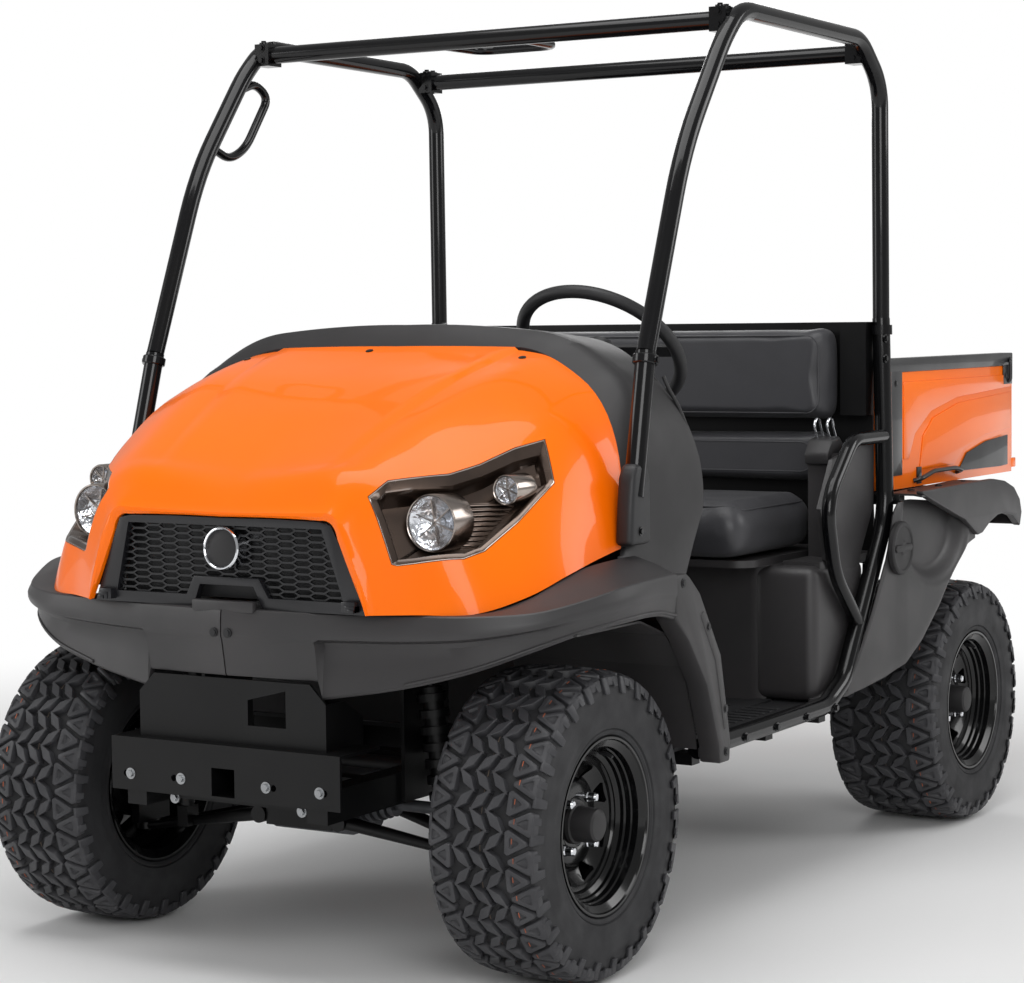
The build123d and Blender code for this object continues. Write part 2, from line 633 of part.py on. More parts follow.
# ---------------------------------------------------------------- rear drive line
REAR_HUB_FACE = hub_face(REAR_TRACK_HALF, REAR_RIM_HALF)
AXLE_TUBE_RADIUS = 32.0
axle_end = REAR_HUB_FACE - HUB_LENGTH - 7
rear_axle = rod((-axle_end, ry(0), AXLE_Z), (axle_end, ry(0), AXLE_Z), AXLE_TUBE_RADIUS)
rear_axle += rod((-REAR_HUB_FACE + 10, ry(0), AXLE_Z), (REAR_HUB_FACE - 10, ry(0), AXLE_Z), SPINDLE_RADIUS)
case = block((-110, 110), (ry(-150), ry(95)), (215, 400))
rear_axle += fillet(case.edges().filter_by(Axis.X), 40)
for side in (-1, 1):
    rear_axle += rod((side * (axle_end - DRUM_WIDTH), ry(0), AXLE_Z), (side * axle_end, ry(0), AXLE_Z),
                     DRUM_RADIUS)
write("rear_axle", rear_axle)

SPRING_X = 322.0
spring_arc = [(ry(-330), 372), (ry(-200), 318), (ry(-60), AXLE_Z - AXLE_TUBE_RADIUS - 8),
              (ry(60), AXLE_Z - AXLE_TUBE_RADIUS - 8), (ry(200), 318), (ry(330), 372)]
spring = side_plate(strip_outline(spring_arc, 7), SPRING_X - 25, SPRING_X + 25)
spring += side_plate(strip_outline(spring_arc[1:5], -7), SPRING_X - 25, SPRING_X + 25)
spring += block((SPRING_X - 30, SPRING_X + 30), (ry(-52), ry(52)),
                (AXLE_Z - AXLE_TUBE_RADIUS - 22, AXLE_Z - AXLE_TUBE_RADIUS))
hanger_z = RAIL_LOW_Z + REAR_RAIL_LIFT
for y in (ry(-330), ry(330)):
    spring += rod((SPRING_X - 30, y, 372), (SPRING_X + 30, y, 372), 13)
    spring += block((RAIL_X + RAIL_WIDTH / 2, SPRING_X - 30), (y - 18, y + 18), (360, hanger_z + 40))
    spring += rod((RAIL_X + RAIL_WIDTH / 2, y, 372), (SPRING_X, y, 372), 9)
rear_shock = rod((SPRING_X + 46, ry(52), 300), (SPRING_X + 20, ry(120), 430), 19)
rear_shock += rod((SPRING_X + 20, ry(120), 430), (SPRING_X - 10, ry(170), 520), 9)
rear_shock += rod((RAIL_X, ry(170), 520), (SPRING_X, ry(170), 520), 10)
rear_shock += block((SPRING_X + 28, SPRING_X + 60), (ry(AXLE_TUBE_RADIUS + RUNNING_GAP), ry(62)),
                    (AXLE_Z - 12, AXLE_Z + 12))
write("rear_springs", Compound([both(spring), both(rear_shock)]))

engine = block((-ENGINE_HALF, ENGINE_HALF), (ry(-400), ry(-60)), (404, 740))
write("engine_block", fillet(engine.edges().filter_by(Axis.Z), 30))
muffler_y = ry(190)
muffler = rod((-180, muffler_y, 590), (170, muffler_y, 590), 64)
muffler += rod((170, muffler_y, 590), (236, muffler_y, 590), 20)
muffler += rod((-120, ry(-57), 570), (-120, muffler_y, 590), 19)
for x in (-110, 130):
    muffler += block((x - 12, x + 12), (muffler_y - 10, muffler_y + 10),
                     (RAIL_TOP_Z + REAR_RAIL_LIFT - 6, 540))
write("muffler", muffler)

TOW_RADIUS = 10.0
hitch = block((-40, 40), (TAIL_Y - 60, HALF_LENGTH),
              (RAIL_LOW_Z + REAR_RAIL_LIFT - 12, RAIL_LOW_Z + REAR_RAIL_LIFT))
TAIL_PLATE_HALF = 300.0
hitch += block((-TAIL_PLATE_HALF, TAIL_PLATE_HALF), (TAIL_Y, TAIL_Y + 8),
               (RAIL_LOW_Z + REAR_RAIL_LIFT - 12, RAIL_TOP_Z + REAR_RAIL_LIFT + 20))
tow_y = HALF_LENGTH - 30
hitch -= rod((0, tow_y, 380), (0, tow_y, 460), TOW_RADIUS)
write("rear_hitch", hitch)
TAIL_LAMP_RADIUS = 36.0
lamp_z = (RAIL_LOW_Z + RAIL_TOP_Z) / 2 + REAR_RAIL_LIFT
tail_lamp = rod((TAIL_PLATE_HALF - 42, TAIL_Y + 8, lamp_z), (TAIL_PLATE_HALF - 42, TAIL_Y + 34, lamp_z),
                TAIL_LAMP_RADIUS, TAIL_LAMP_RADIUS - 4)
write("tail_lamps", both(tail_lamp))

# ---------------------------------------------------------------- roll frame
COLLAR_LENGTH = 22.0
A_FOOT = (611, fy(152), 900)
A_JOINT = (HOOP_X, fy(225), 1175)
B_JOINT = (HOOP_X, REAR_AXLE_Y - 442, 1232)


def roll_hoop():
    """Left bent hoop in one upright plane: front post, roof rail and rear post."""
    points = [
        A_JOINT,
        (HOOP_X, fy(385), ROOF_Z - 297),
        (HOOP_X, fy(560), ROOF_Z - 72),
        (HOOP_X, fy(640), ROOF_Z),
        (HOOP_X, REAR_AXLE_Y - 561, ROOF_Z - 9),
        (HOOP_X, REAR_AXLE_Y - 446, ROOF_Z - 102),
        B_JOINT,
    ]
    return tube(points, [700, 400, 130, 115, 115], POST_RADIUS)


hoop = roll_hoop()
write("roll_hoops", both(hoop))


def collar(centre, toward, length):
    """Bolted sleeve round a tube joint."""
    centre = Vector(*centre)
    step = (Vector(*toward) - centre).normalized() * (length / 2)
    return rod(tuple(centre - step), tuple(centre + step), COLLAR_RADIUS)


front_stub = rod(A_FOOT, A_JOINT, STUB_RADIUS)
front_stub += collar((603, fy(216), 1150), A_JOINT, COLLAR_LENGTH)
front_stub -= hoop

HANDLE_RADIUS = 9.0
handle_points = [(-HOOP_X, fy(548), 1765), (-HOOP_X - 4, fy(610), 1782), (-HOOP_X - 4, fy(652), 1752),
                 (-HOOP_X - 4, fy(566), 1640), (-HOOP_X - 4, fy(502), 1610), (-HOOP_X, fy(444), 1628)]
handle = tube(handle_points, [26, 26, 30, 30], HANDLE_RADIUS) - mirrored(hoop)
write("passenger_grab_handle", handle.solids().sort_by(SortBy.VOLUME)[-1])

SILL_FRONT_Y = fy(392)
lower_points = [
    B_JOINT,
    (616, REAR_AXLE_Y - 453, 776),
    (SILL_X, REAR_AXLE_Y - 701, 430),
    (SILL_X, REAR_AXLE_Y - 800, SILL_Z + 4),
    (SILL_X, SILL_FRONT_Y, SILL_Z),
]
lower_tube = tube(lower_points, [190, 120, 150], STUB_RADIUS)
lower_tube += collar((602.6, REAR_AXLE_Y - 442.5, 1205), B_JOINT, COLLAR_LENGTH)
lower_tube -= hoop
write("side_tubes", both(lower_tube))

FRONT_BAR = (fy(618), ROOF_Z - 22)
REAR_BAR = (ry(-512), ROOF_Z - 36)
roof_bars = []
for y, z in (FRONT_BAR, REAR_BAR):
    roof_bar = rod((-HOOP_X, y, z), (HOOP_X, y, z), BAR_RADIUS)
    for side in (-1, 1):
        clamp = sorted((side * (HOOP_X - 46), side * (HOOP_X - 8)))
        roof_bar += block(clamp, (y - 25, y + 25), (z - 25, z + 25))
    roof_bars.append(roof_bar - hoop - mirrored(hoop))
write("roof_bars", Compound(roof_bars))

loop_half = 104
loop_z = FRONT_BAR[1] - 8
loop_y = (FRONT_BAR[0], FRONT_BAR[0] + 150)
roof_loop = tube([(-loop_half, loop_y[0], loop_z), (-loop_half + 6, loop_y[1], loop_z),
                  (loop_half - 6, loop_y[1], loop_z), (loop_half, loop_y[0], loop_z)], [40, 40],
                  LOOP_RADIUS)
roof_loop -= rod((-HOOP_X, *FRONT_BAR), (HOOP_X, *FRONT_BAR), BAR_RADIUS)
write("roof_grab_loop", roof_loop)

guard_points = [
    (612, REAR_AXLE_Y - 452, 962), (SILL_X, REAR_AXLE_Y - 650, 962), (SILL_X, REAR_AXLE_Y - 790, 830),
    (SILL_X, REAR_AXLE_Y - 745, 670), (SILL_X, REAR_AXLE_Y - 618, 545),
]
guard = tube(guard_points, [90, 100, 160], GUARD_RADIUS)
guard -= lower_tube
write("hip_guards", both(guard))

# ---------------------------------------------------------------- hood and cowl
# Columns: back from the front axle, then (x, z) of centre, arc, ridge, arc, shoulder, arc, foot.
HOOD_SECTIONS = [
    (-331, [(0, 890), (120, 892), (236, 897), (262, 890), (282, 862), (306, 800), (326, 709)]),
    (-286, [(0, 938), (100, 950), (192, 962), (262, 957), (320, 922), (372, 850), (400, 709)]),
    (-240, [(0, 965), (105, 972), (200, 982), (282, 980), (360, 942), (438, 862), (494, 710)]),
    (-150, [(0, 1018), (110, 1022), (215, 1030), (300, 1026), (390, 984), (482, 890), (556, 736)]),
    (-54, [(0, 1071), (115, 1072), (232, 1076), (320, 1072), (412, 1032), (510, 935), (585, 768)]),
    (60, [(0, 1120), (125, 1121), (255, 1125), (335, 1120), (425, 1085), (530, 985), (589, 790)]),
    (180, [(0, 1160), (135, 1160), (275, 1163), (352, 1154), (440, 1118), (545, 1000), (591, 806)]),
    (290, [(0, 1196), (140, 1196), (288, 1192), (362, 1176), (450, 1128), (548, 1012), (593, 806)]),
]
SEAM_SLOPE = 0.325
SEAM_TOP = (fy(266), 1191)


def body_volume(sections, inset):
    """Ruled volume through body sections, moved inwards by inset."""
    faces = []
    for back, half in sections:
        points = inset_half(half, inset) if inset else half
        faces.append(arch_face(fy(back), points))
    return loft(faces, ruled=True)


def behind_seam(gap):
    """Half space behind the hood's rear seam, as a large wedge."""
    top, low = 1400, 300
    y_top = SEAM_TOP[0] + (top - SEAM_TOP[1]) * SEAM_SLOPE + gap
    y_low = SEAM_TOP[0] + (low - SEAM_TOP[1]) * SEAM_SLOPE + gap
    return side_plate([(y_low, low), (y_top, top), (fy(900), top), (fy(900), low)], -800, 800)


hood_outer = body_volume(HOOD_SECTIONS, 0)
inner_sections = [(HOOD_SECTIONS[0][0] + 12, HOOD_SECTIONS[0][1])] + HOOD_SECTIONS[1:]
hood_inner = body_volume(inner_sections, PANEL)
# The hollow also runs on a little back and down.
HOLLOW_RUN_ON = (0, 3, -4)
hood_inner += Pos(*HOLLOW_RUN_ON) * hood_inner
hood = hood_outer - hood_inner - behind_seam(-SEAM_GAP / 2)

GRILLE_TOP = (250.0, 878.0)
GRILLE_FOOT = (322.0, 716.0)
GRILLE_FRAME_LOW_Z = 708.3
grille_hole = [(-GRILLE_FOOT[0], GRILLE_FOOT[1] - 10), (GRILLE_FOOT[0], GRILLE_FOOT[1] - 10),
               (GRILLE_TOP[0], GRILLE_TOP[1]), (-GRILLE_TOP[0], GRILLE_TOP[1])]
hood -= front_plate(grille_hole, fy(-380), fy(-290))

# Headlamp opening: a plane across the corner of the hood, and the outline on it.
LAMP_CENTRE = (430, fy(-149), 900)
LAMP_OUTLINE = [(-192, 14), (-152, 44), (-37, 54), (26, 76), (100, 114), (167, 137), (172, 43),
                (83, -47), (11, -106), (-30, -121), (-148, -119), (-158, -115)]
LAMP_RIM = 9.0
LAMP_DEPTH = 48.0
lamp_normal = Vector(0.62, -0.62, 0.42).normalized()
lamp_plane = Plane(Vector(*LAMP_CENTRE), x_dir=(1, 1, 0), z_dir=lamp_normal)


def lamp_prism(shrink, low, high):
    """Prism of the lamp outline, made smaller by shrink, between two distances off its plane."""
    face = make_face(Polyline(*LAMP_OUTLINE, close=True))
    if shrink:
        face = offset(face, -shrink, kind=Kind.INTERSECTION)
    return (lamp_plane * Pos(0, 0, low)) * extrude(face, high - low)


lamp_hole = lamp_prism(0, -LAMP_DEPTH - 40, 120)
hood -= lamp_hole
hood -= mirrored(lamp_hole)
write("hood", hood)

MAIN_LAMP = (397, fy(-228), 871, 54)
SMALL_LAMP = (484, fy(-106), 926, 29)
LENS_THICK = 4.0
bezel = lamp_prism(RUNNING_GAP, -LAMP_DEPTH - 6, 120) & body_volume(HOOD_SECTIONS, 1)
bezel -= lamp_prism(LAMP_RIM, -LAMP_DEPTH, 120)
lenses = None
for x, y, z, radius in (MAIN_LAMP, SMALL_LAMP):
    barrel = rod((x, y, z), (x, y + 120, z), radius)
    barrel &= lamp_prism(RUNNING_GAP, -LAMP_DEPTH - 3, 120)
    bezel += barrel - rod((x, y - 1, z), (x, y + LENS_THICK, z), radius - 5)
    lens = rod((x, y + RUNNING_GAP, z), (x, y + LENS_THICK, z), radius - 5 - RUNNING_GAP)
    lenses = lens if lenses is None else lenses + lens
write("headlamp_bezels", both(bezel))
write("headlamp_lenses", both(lenses))

frame_out = [(-GRILLE_FOOT[0], GRILLE_FRAME_LOW_Z), (GRILLE_FOOT[0], GRILLE_FRAME_LOW_Z),
             (GRILLE_TOP[0], GRILLE_TOP[1]), (-GRILLE_TOP[0], GRILLE_TOP[1])]
frame_in = [(-262, 730), (-84, 730), (-62, 762), (62, 762), (84, 730), (262, 730),
            (GRILLE_TOP[0] - 28, GRILLE_TOP[1] - 20), (-GRILLE_TOP[0] + 28, GRILLE_TOP[1] - 20)]
grille_frame = front_plate(frame_out, fy(-338), fy(-296)) - front_plate(frame_in, fy(-345), fy(-290)) - hood
write("grille_frame", grille_frame)
write("grille_mesh", front_plate(frame_in, fy(-326), fy(-320)))
badge = rod((0, fy(-326), 816), (0, fy(-340), 816), 41)
write("grille_roundel", badge)

COWL_SECTIONS = [
    (190, [(0, 1214), (150, 1213), (300, 1202), (385, 1182), (470, 1136), (566, 1020), (599, 812)]),
    (320, [(0, 1232), (150, 1230), (310, 1218), (400, 1196), (484, 1148), (580, 1030), (603, 812)]),
    (480, [(0, 1218), (150, 1216), (310, 1204), (404, 1184), (490, 1138), (584, 1020), (605, 812)]),
]
COWL_FOOT_Z = 690.0


def cowl_volume(inset):
    """Cowl volume with straight sides down to its foot."""
    upper = body_volume(COWL_SECTIONS, inset)
    half = COWL_SECTIONS[1][1][6][0] - inset
    foot = ruled([[(-half, fy(back), COWL_FOOT_Z - 60), (half, fy(back), COWL_FOOT_Z - 60),
                   (half, fy(back), 812 + 2), (-half, fy(back), 812 + 2)]
                  for back in (COWL_SECTIONS[0][0], COWL_SECTIONS[2][0])])
    return upper + foot


COWL_REAR = [(fy(372), COWL_FOOT_Z), (fy(384), 732), (fy(457), 865), (fy(456), 954), (fy(430), 1062),
             (fy(412), 1123), (fy(440), 1165), (fy(470), 1205), (fy(476), 1260)]
cowl_keep = side_plate([(fy(215), 1260), (fy(185), 1000), (fy(100), 812), (fy(100), 756),
                        (fy(214), 756), (fy(262), COWL_FOOT_Z)] + COWL_REAR, -700, 700)
cowl_inner = cowl_volume(PANEL)
cowl = (cowl_volume(0) - cowl_inner) & cowl_keep & behind_seam(SEAM_GAP / 2)
write("cowl", cowl)

BOOT_OUTLINE = [(fy(88), 806), (fy(84), 950), (fy(104), 966), (fy(196), 962), (fy(198), 806)]
boot = side_plate(BOOT_OUTLINE, HOOP_X - 22, HOOP_X + 30) - cowl_volume(0) - front_stub - hood_outer
front_stub += boot.solids().sort_by(SortBy.VOLUME)[-1]
write("front_post_stubs", both(front_stub))

dash_path = [(fy(358), 388), (fy(368), 640), (fy(404), 860), (fy(440), 960), (fy(424), 1050),
             (fy(446), 1130),
             (fy(452), 1196)]
dash_strip = side_plate(strip_outline(dash_path, -6), -CAB_HALF_WIDTH, CAB_HALF_WIDTH)
dash_room = cowl_volume(PANEL + 1) + block((-CAB_HALF_WIDTH, CAB_HALF_WIDTH), (fy(340), fy(480)),
                                           (387, 700))
dash = dash_strip & dash_room

# ---------------------------------------------------------------- front fenders
# Columns: x, back from the front axle, outward heading in degrees from straight ahead, top z,
# belly bulge, belly z, inset of the lower edge, lower z, depth of the ledge, ledge z.
FENDER_STATIONS = [
    (0, -341, 0, 706, 2, 650, 12, 579, 45, 708),
    (186, -322, 7, 706, 4, 650, 12, 579, 44, 708),
    (206, -319, 8, 706, 4, 640, 13, 542, 44, 708),
    (370, -290, 12, 707, 5, 645, 16, 570, 44, 708),
    (500, -259, 22, 708, 6, 655, 18, 603, 42, 709),
    (600, -194, 45, 714, 6, 672, 20, 640, 62, 732),
    (652, -114, 62, 730, 6, 696, 16, 664, 86, 759),
    (686, -24, 78, 748, 5, 712, 10, 677, 100, 776),
    (BODY_HALF_WIDTH - 1, 106, 90, 755, 1, 716, 4, 680, 90, 786),
    (BODY_HALF_WIDTH - 1, 170, 90, 756, 1, 712, 4, 668, 90, 786),
]
FENDER_WALL = 7.0


def fender_ring(station):
    """Closed upright ring: outer skin down, inner skin back up."""
    x, back, heading, top, bulge, belly, inset, low, depth, ledge = station
    inward = Vector(-sin(radians(heading)), cos(radians(heading)), 0)
    corner = Vector(x, fy(back), 0)
    profile = [
        (depth, ledge), (0, top), (-bulge, belly), (inset, low),
        (inset + FENDER_WALL, low), (FENDER_WALL - bulge, belly), (FENDER_WALL, top - FENDER_WALL),
        (depth, ledge - FENDER_WALL),
    ]
    return [tuple(corner + inward * u + Vector(0, 0, z)) for u, z in profile]


def front_fender():
    """Left half of the wraparound bumper and fender, with its leg down to the sill."""
    shell = ruled([fender_ring(station) for station in FENDER_STATIONS])
    shell -= block((-10, SEAM_GAP / 2), (fy(-360), fy(-200)), (500, 720))
    shell -= hood_outer
    shell -= cowl_volume(0)
    leg = [
        (fy(170), 756), (fy(214), 756), (fy(269), 709), (fy(357), 579), (fy(397), 404),
        (fy(392), 362), (fy(350), 362), (fy(346), 400), (fy(296), 526), (fy(221), 621), (fy(170), 668),
    ]
    shell += side_plate(leg, BODY_HALF_WIDTH - 51, BODY_HALF_WIDTH - 1)
    shell += block((600, 650), (fy(170), fy(206)), (744, 756))
    shell += block((SILL_X + STUB_RADIUS - 4, 650), (fy(356), fy(390)), (SILL_Z - 10, SILL_Z + 10))
    return shell


fender = front_fender()
write("front_fenders", both(fender))

liner_path = [(fy(349), 389), (fy(340), 440), (fy(292), 560), (fy(222), 630), (fy(120), 664),
              (fy(-120), 664)]
liner = side_plate(strip_outline(liner_path, -4), RAIL_X + 40, 640) - fender
write("wheel_arch_liners", both(liner))
dash = dash - liner - mirrored(liner)
write("dash_panel", dash)

# ---------------------------------------------------------------- seat
CUSHION_BACK_Y = ry(-506)
base_back = ry(-446)
seat_base = block((-SEAT_HALF_WIDTH, SEAT_HALF_WIDTH), (ry(-800), base_back),
                  (FLOOR_Z + FLOOR_THICK, CUSHION_LOW_Z - 16))
seat_base = fillet(seat_base.edges().filter_by(Axis.Z), 60)
seat_base -= block((-SEAT_HALF_WIDTH + 10, SEAT_HALF_WIDTH - 10), (ry(-790), base_back + 1),
                   (FLOOR_Z, CUSHION_LOW_Z - 26))
tray = block((-SEAT_HALF_WIDTH + 14, SEAT_HALF_WIDTH - 14), (ry(-900), base_back),
             (CUSHION_LOW_Z - 16, CUSHION_LOW_Z - SOFT_GAP))
write("seat_base", seat_base + fillet(tray.edges().filter_by(Axis.Z), 50))
cushion = block((-SEAT_HALF_WIDTH, SEAT_HALF_WIDTH), (CUSHION_BACK_Y - CUSHION_LENGTH, CUSHION_BACK_Y),
                (CUSHION_LOW_Z, CUSHION_TOP_Z))
cushion = fillet(cushion.edges().filter_by(Axis.Z), 70)
cushion = fillet(cushion.faces().sort_by(Axis.Z)[-1].edges(), 28)
write("seat_cushion", cushion)
back_y = (base_back - SOFT_GAP - BACK_THICK, base_back - SOFT_GAP)
upper_back = block((-BACK_HALF_WIDTH, BACK_HALF_WIDTH), back_y, (BACK_SPLIT_Z + 4, BACK_TOP_Z))
upper_back = fillet(upper_back.edges().filter_by(Axis.Y), 42)
upper_back = fillet(upper_back.faces().sort_by(Axis.Y)[0].edges(), 22)
write("seat_back_upper", upper_back)
lower_back = block((-BACK_HALF_WIDTH + 20, BACK_HALF_WIDTH - 20), (back_y[0] + 18, back_y[1]),
                   (CUSHION_TOP_Z + 14, BACK_SPLIT_Z - 4))
lower_back = fillet(lower_back.edges().filter_by(Axis.Y), 30)
write("seat_back_lower", fillet(lower_back.faces().sort_by(Axis.Y)[0].edges(), 16))
screen_half = HOOP_X - POST_RADIUS - RUNNING_GAP
screen = block((-screen_half, screen_half), (base_back, base_back + 5), (CUSHION_LOW_Z - 40, BACK_TOP_Z))
screen += both(block((BACK_HALF_WIDTH + 4, screen_half), (base_back - 40, base_back + 1),
                     (1010, BACK_TOP_Z)))
write("seat_back_screen", screen - both(lower_tube) - both(hoop))

hip_outline = [(ry(-738), 700), (ry(-768), 815), (ry(-700), 920), (ry(-560), 944), (ry(-478), 944),
               (ry(-476), 800), (ry(-636), 580)]
hip_panel = side_plate(hip_outline, SILL_X - 34, SILL_X - 24)
hip_shelf = block((SEAT_HALF_WIDTH + RUNNING_GAP, SILL_X - 30), (ry(-760), base_back),
                  (CUSHION_LOW_Z - 30, CUSHION_LOW_Z - 10))
latch = block((SEAT_HALF_WIDTH + 8, SILL_X - 40), (ry(-640), ry(-600)), (CUSHION_LOW_Z - 10, 930))
write("seat_side_panels", both(hip_panel + hip_shelf + latch))

# ---------------------------------------------------------------- steering wheel, column, levers, pedals
tilt = radians(STEERING_TILT)
WHEEL_HUB = Vector(STEERING_WHEEL_X, fy(STEERING_WHEEL_BACK), STEERING_WHEEL_Z)
WHEEL_AXIS = Vector(0, cos(tilt), sin(tilt))
wheel_plane = Plane(WHEEL_HUB, x_dir=(1, 0, 0), z_dir=WHEEL_AXIS)


def column_point(down):
    """A point on the column's axis, a distance below the wheel's hub."""
    return tuple(WHEEL_HUB - WHEEL_AXIS * down)


steering = wheel_plane * Torus(STEERING_WHEEL_RADIUS, STEERING_RIM_RADIUS)
steering += rod(column_point(-8), column_point(44), 30)
for angle in (0, 180, 90):
    spoke = Pos(STEERING_WHEEL_RADIUS / 2, 0, -6) * Box(STEERING_WHEEL_RADIUS, 30, 8)
    steering += wheel_plane * (Rot(0, 0, angle) * spoke)
steering += rod(column_point(40), column_point(150), 11)
write("steering_wheel", steering)
column = rod(column_point(52), column_point(330), COLUMN_RADIUS)
column -= rod(column_point(50), column_point(158), 11 + RUNNING_GAP)
column += bar((STEERING_WHEEL_X - 60, fy(452), 1010), (STEERING_WHEEL_X + 60, fy(452), 1010), 30, 60)
column -= rod(column_point(50), column_point(158), 11 + RUNNING_GAP)
column = (column - dash).solids().sort_by(SortBy.VOLUME)[-1]
write("steering_column", column)

pedals = None
for x in (210, 330):
    pedal = block((x - 28, x + 28), (fy(410), fy(418)), (470, 540))
    pedal += rod((x, fy(412), 500), (x, fy(368), 660), 7)
    pedals = pedal if pedals is None else pedals + pedal
pedals = (pedals - dash).solids().sort_by(SortBy.VOLUME)[-2:]
lever = rod((150, fy(430), 1010), (150, fy(520), 1090), 7)
lever += Pos(150, fy(520), 1090) * Sphere(17)
lever = (lever - dash).solids().sort_by(SortBy.VOLUME)[-1]
write("cab_controls", Compound([*pedals, lever]))

# ---------------------------------------------------------------- rear bodywork
# Columns: back from the rear axle, inward of the body's widest line, lower z, upper z.
QUARTER_STATIONS = [
    (-842, 89, 398, 404), (-720, 55, 396, 406), (-600, 43, 396, 560), (-530, 37, 397, 690),
    (-470, 31, 402, 812), (-369, 23, 421, 797), (-155, 11, 621, 748), (-60, 9, 692, 700),
]
quarter_rings = []
for back, inward, low, high in QUARTER_STATIONS:
    outer = BODY_HALF_WIDTH - inward
    quarter_rings.append([(outer, ry(back), low), (outer, ry(back), high),
                          (outer - 8, ry(back), high), (outer - 8, ry(back), low)])
quarter = (ruled(quarter_rings) - lower_tube).solids().sort_by(SortBy.VOLUME)[-1]
write("rear_quarter_panels", both(quarter))
FILLER_RADIUS = 62.0
filler_place = (ry(-478), 708)
filler_x = BODY_HALF_WIDTH - 35
filler = rod((filler_x, *filler_place), (filler_x + 14, *filler_place), FILLER_RADIUS,
             FILLER_RADIUS - 6) - quarter
write("filler_cover", filler.solids().sort_by(SortBy.VOLUME)[-1])

flare_path = [(ry(-420), 827), (ry(71), 838), (ry(178), 812), (ry(233), 760), (ry(226), 742)]
flare_in = BED_HALF_WIDTH + 6
flare = side_plate(strip_outline(flare_path, -5), flare_in, BODY_HALF_WIDTH)
flare_lip = [(ry(-69), 703), (ry(-10), 765), (ry(84), 785), (ry(164), 775), (ry(224), 742), (ry(233), 758),
             (ry(178), 810), (ry(71), 836), (ry(-146), 832), (ry(-184), 782)]
flare += side_plate(flare_lip, BODY_HALF_WIDTH - 6, BODY_HALF_WIDTH)
for y in BED_BEAMS:
    flare += block((BEAM_HALF, flare_in + 20), (y - 16, y + 16), (BED_LOW_Z - 30, BED_LOW_Z - 6))
    flare += block((flare_in, flare_in + 20), (y - 16, y + 16), (BED_LOW_Z - 8, BED_LOW_Z + 3))
write("rear_flares", both(flare))

# ---------------------------------------------------------------- dump bed
BED_Y = (ry(BED_FRONT), ry(BED_FRONT) + BED_LENGTH)
rail_low = BED_RAIL_Z - BED_RAIL_HEIGHT
inner_x = BED_HALF_WIDTH - BED_SKIN_GAP
tub = block((-inner_x, inner_x), (BED_Y[0] + 6, BED_Y[1]), (BED_FLOOR_Z - BED_WALL, BED_FLOOR_Z))
tub += block((-inner_x, inner_x), (BED_Y[0] + 6, BED_Y[0] + 6 + BED_WALL),
             (BED_FLOOR_Z - BED_WALL, rail_low))
tub += both(block((inner_x - BED_WALL, inner_x), (BED_Y[0] + 6, BED_Y[1]),
                  (BED_FLOOR_Z - BED_WALL, rail_low)))
for x in (-BED_HINGE_X, BED_HINGE_X):
    tub += block((x - 20, x + 20), (BED_Y[0] + 60, BED_Y[1] - 20), (BED_LOW_Z, BED_FLOOR_Z - BED_WALL))
    tub += block((x - 20, x + 20), (ry(BED_HINGE_BACK) - 16, ry(BED_HINGE_BACK) + 16),
                 (BED_HINGE_Z, BED_LOW_Z))
    tub += rod((x - 20, ry(BED_HINGE_BACK), BED_HINGE_Z), (x + 20, ry(BED_HINGE_BACK), BED_HINGE_Z), 16)
    tub -= rod((x - 30, ry(BED_HINGE_BACK), BED_HINGE_Z), (x + 30, ry(BED_HINGE_BACK), BED_HINGE_Z),
               8 + RUNNING_GAP)
write("bed_tub", tub)
skin = block((BED_HALF_WIDTH - BED_WALL, BED_HALF_WIDTH), BED_Y, (BED_LOW_Z, rail_low))
for y in BED_Y:
    near = (y, y + 6) if y == BED_Y[0] else (y - 6, y)
    skin += block((inner_x, BED_HALF_WIDTH), near, (BED_LOW_Z, rail_low))
front_skin = block((-inner_x, inner_x), (BED_Y[0], BED_Y[0] + 6), (BED_LOW_Z, rail_low))
rail = block((-BED_HALF_WIDTH - 3, BED_HALF_WIDTH + 3), (BED_Y[0] - 3, BED_Y[1]), (rail_low, BED_RAIL_Z))
rail -= block((-inner_x + BED_WALL, inner_x - BED_WALL), (BED_Y[0] + 6 + BED_WALL, BED_Y[1] + 1),
              (rail_low - 1, BED_RAIL_Z + 1))
write("bed_rail", rail)
gate_y = BED_Y[1] + 6
GATE_HINGE = (gate_y + TAILGATE_THICK / 2, BED_FLOOR_Z - 12)
gate_half = BED_HALF_WIDTH - 12
gate = block((-gate_half, gate_half), (gate_y, gate_y + TAILGATE_THICK), (BED_FLOOR_Z + 2, rail_low - 2))
gate += rod((-gate_half, *GATE_HINGE), (gate_half, *GATE_HINGE), TAILGATE_HINGE_RADIUS)
gate += block((-gate_half, gate_half), (gate_y + 6, gate_y + TAILGATE_THICK - 6),
              (GATE_HINGE[1], BED_FLOOR_Z + 4))
gate += rod((-gate_half - 8, *GATE_HINGE), (gate_half + 8, *GATE_HINGE), TAILGATE_HINGE_RADIUS - 3)
write("tailgate", gate)
skin += block((gate_half + 2, BED_HALF_WIDTH), (BED_Y[1] - 6, gate_y + TAILGATE_THICK),
              (GATE_HINGE[1] - 13, GATE_HINGE[1] + 13))
skin -= rod((gate_half, *GATE_HINGE), (BED_HALF_WIDTH + 5, *GATE_HINGE),
            TAILGATE_HINGE_RADIUS - 3 + RUNNING_GAP)
write("bed_skins", both(skin) + front_skin)

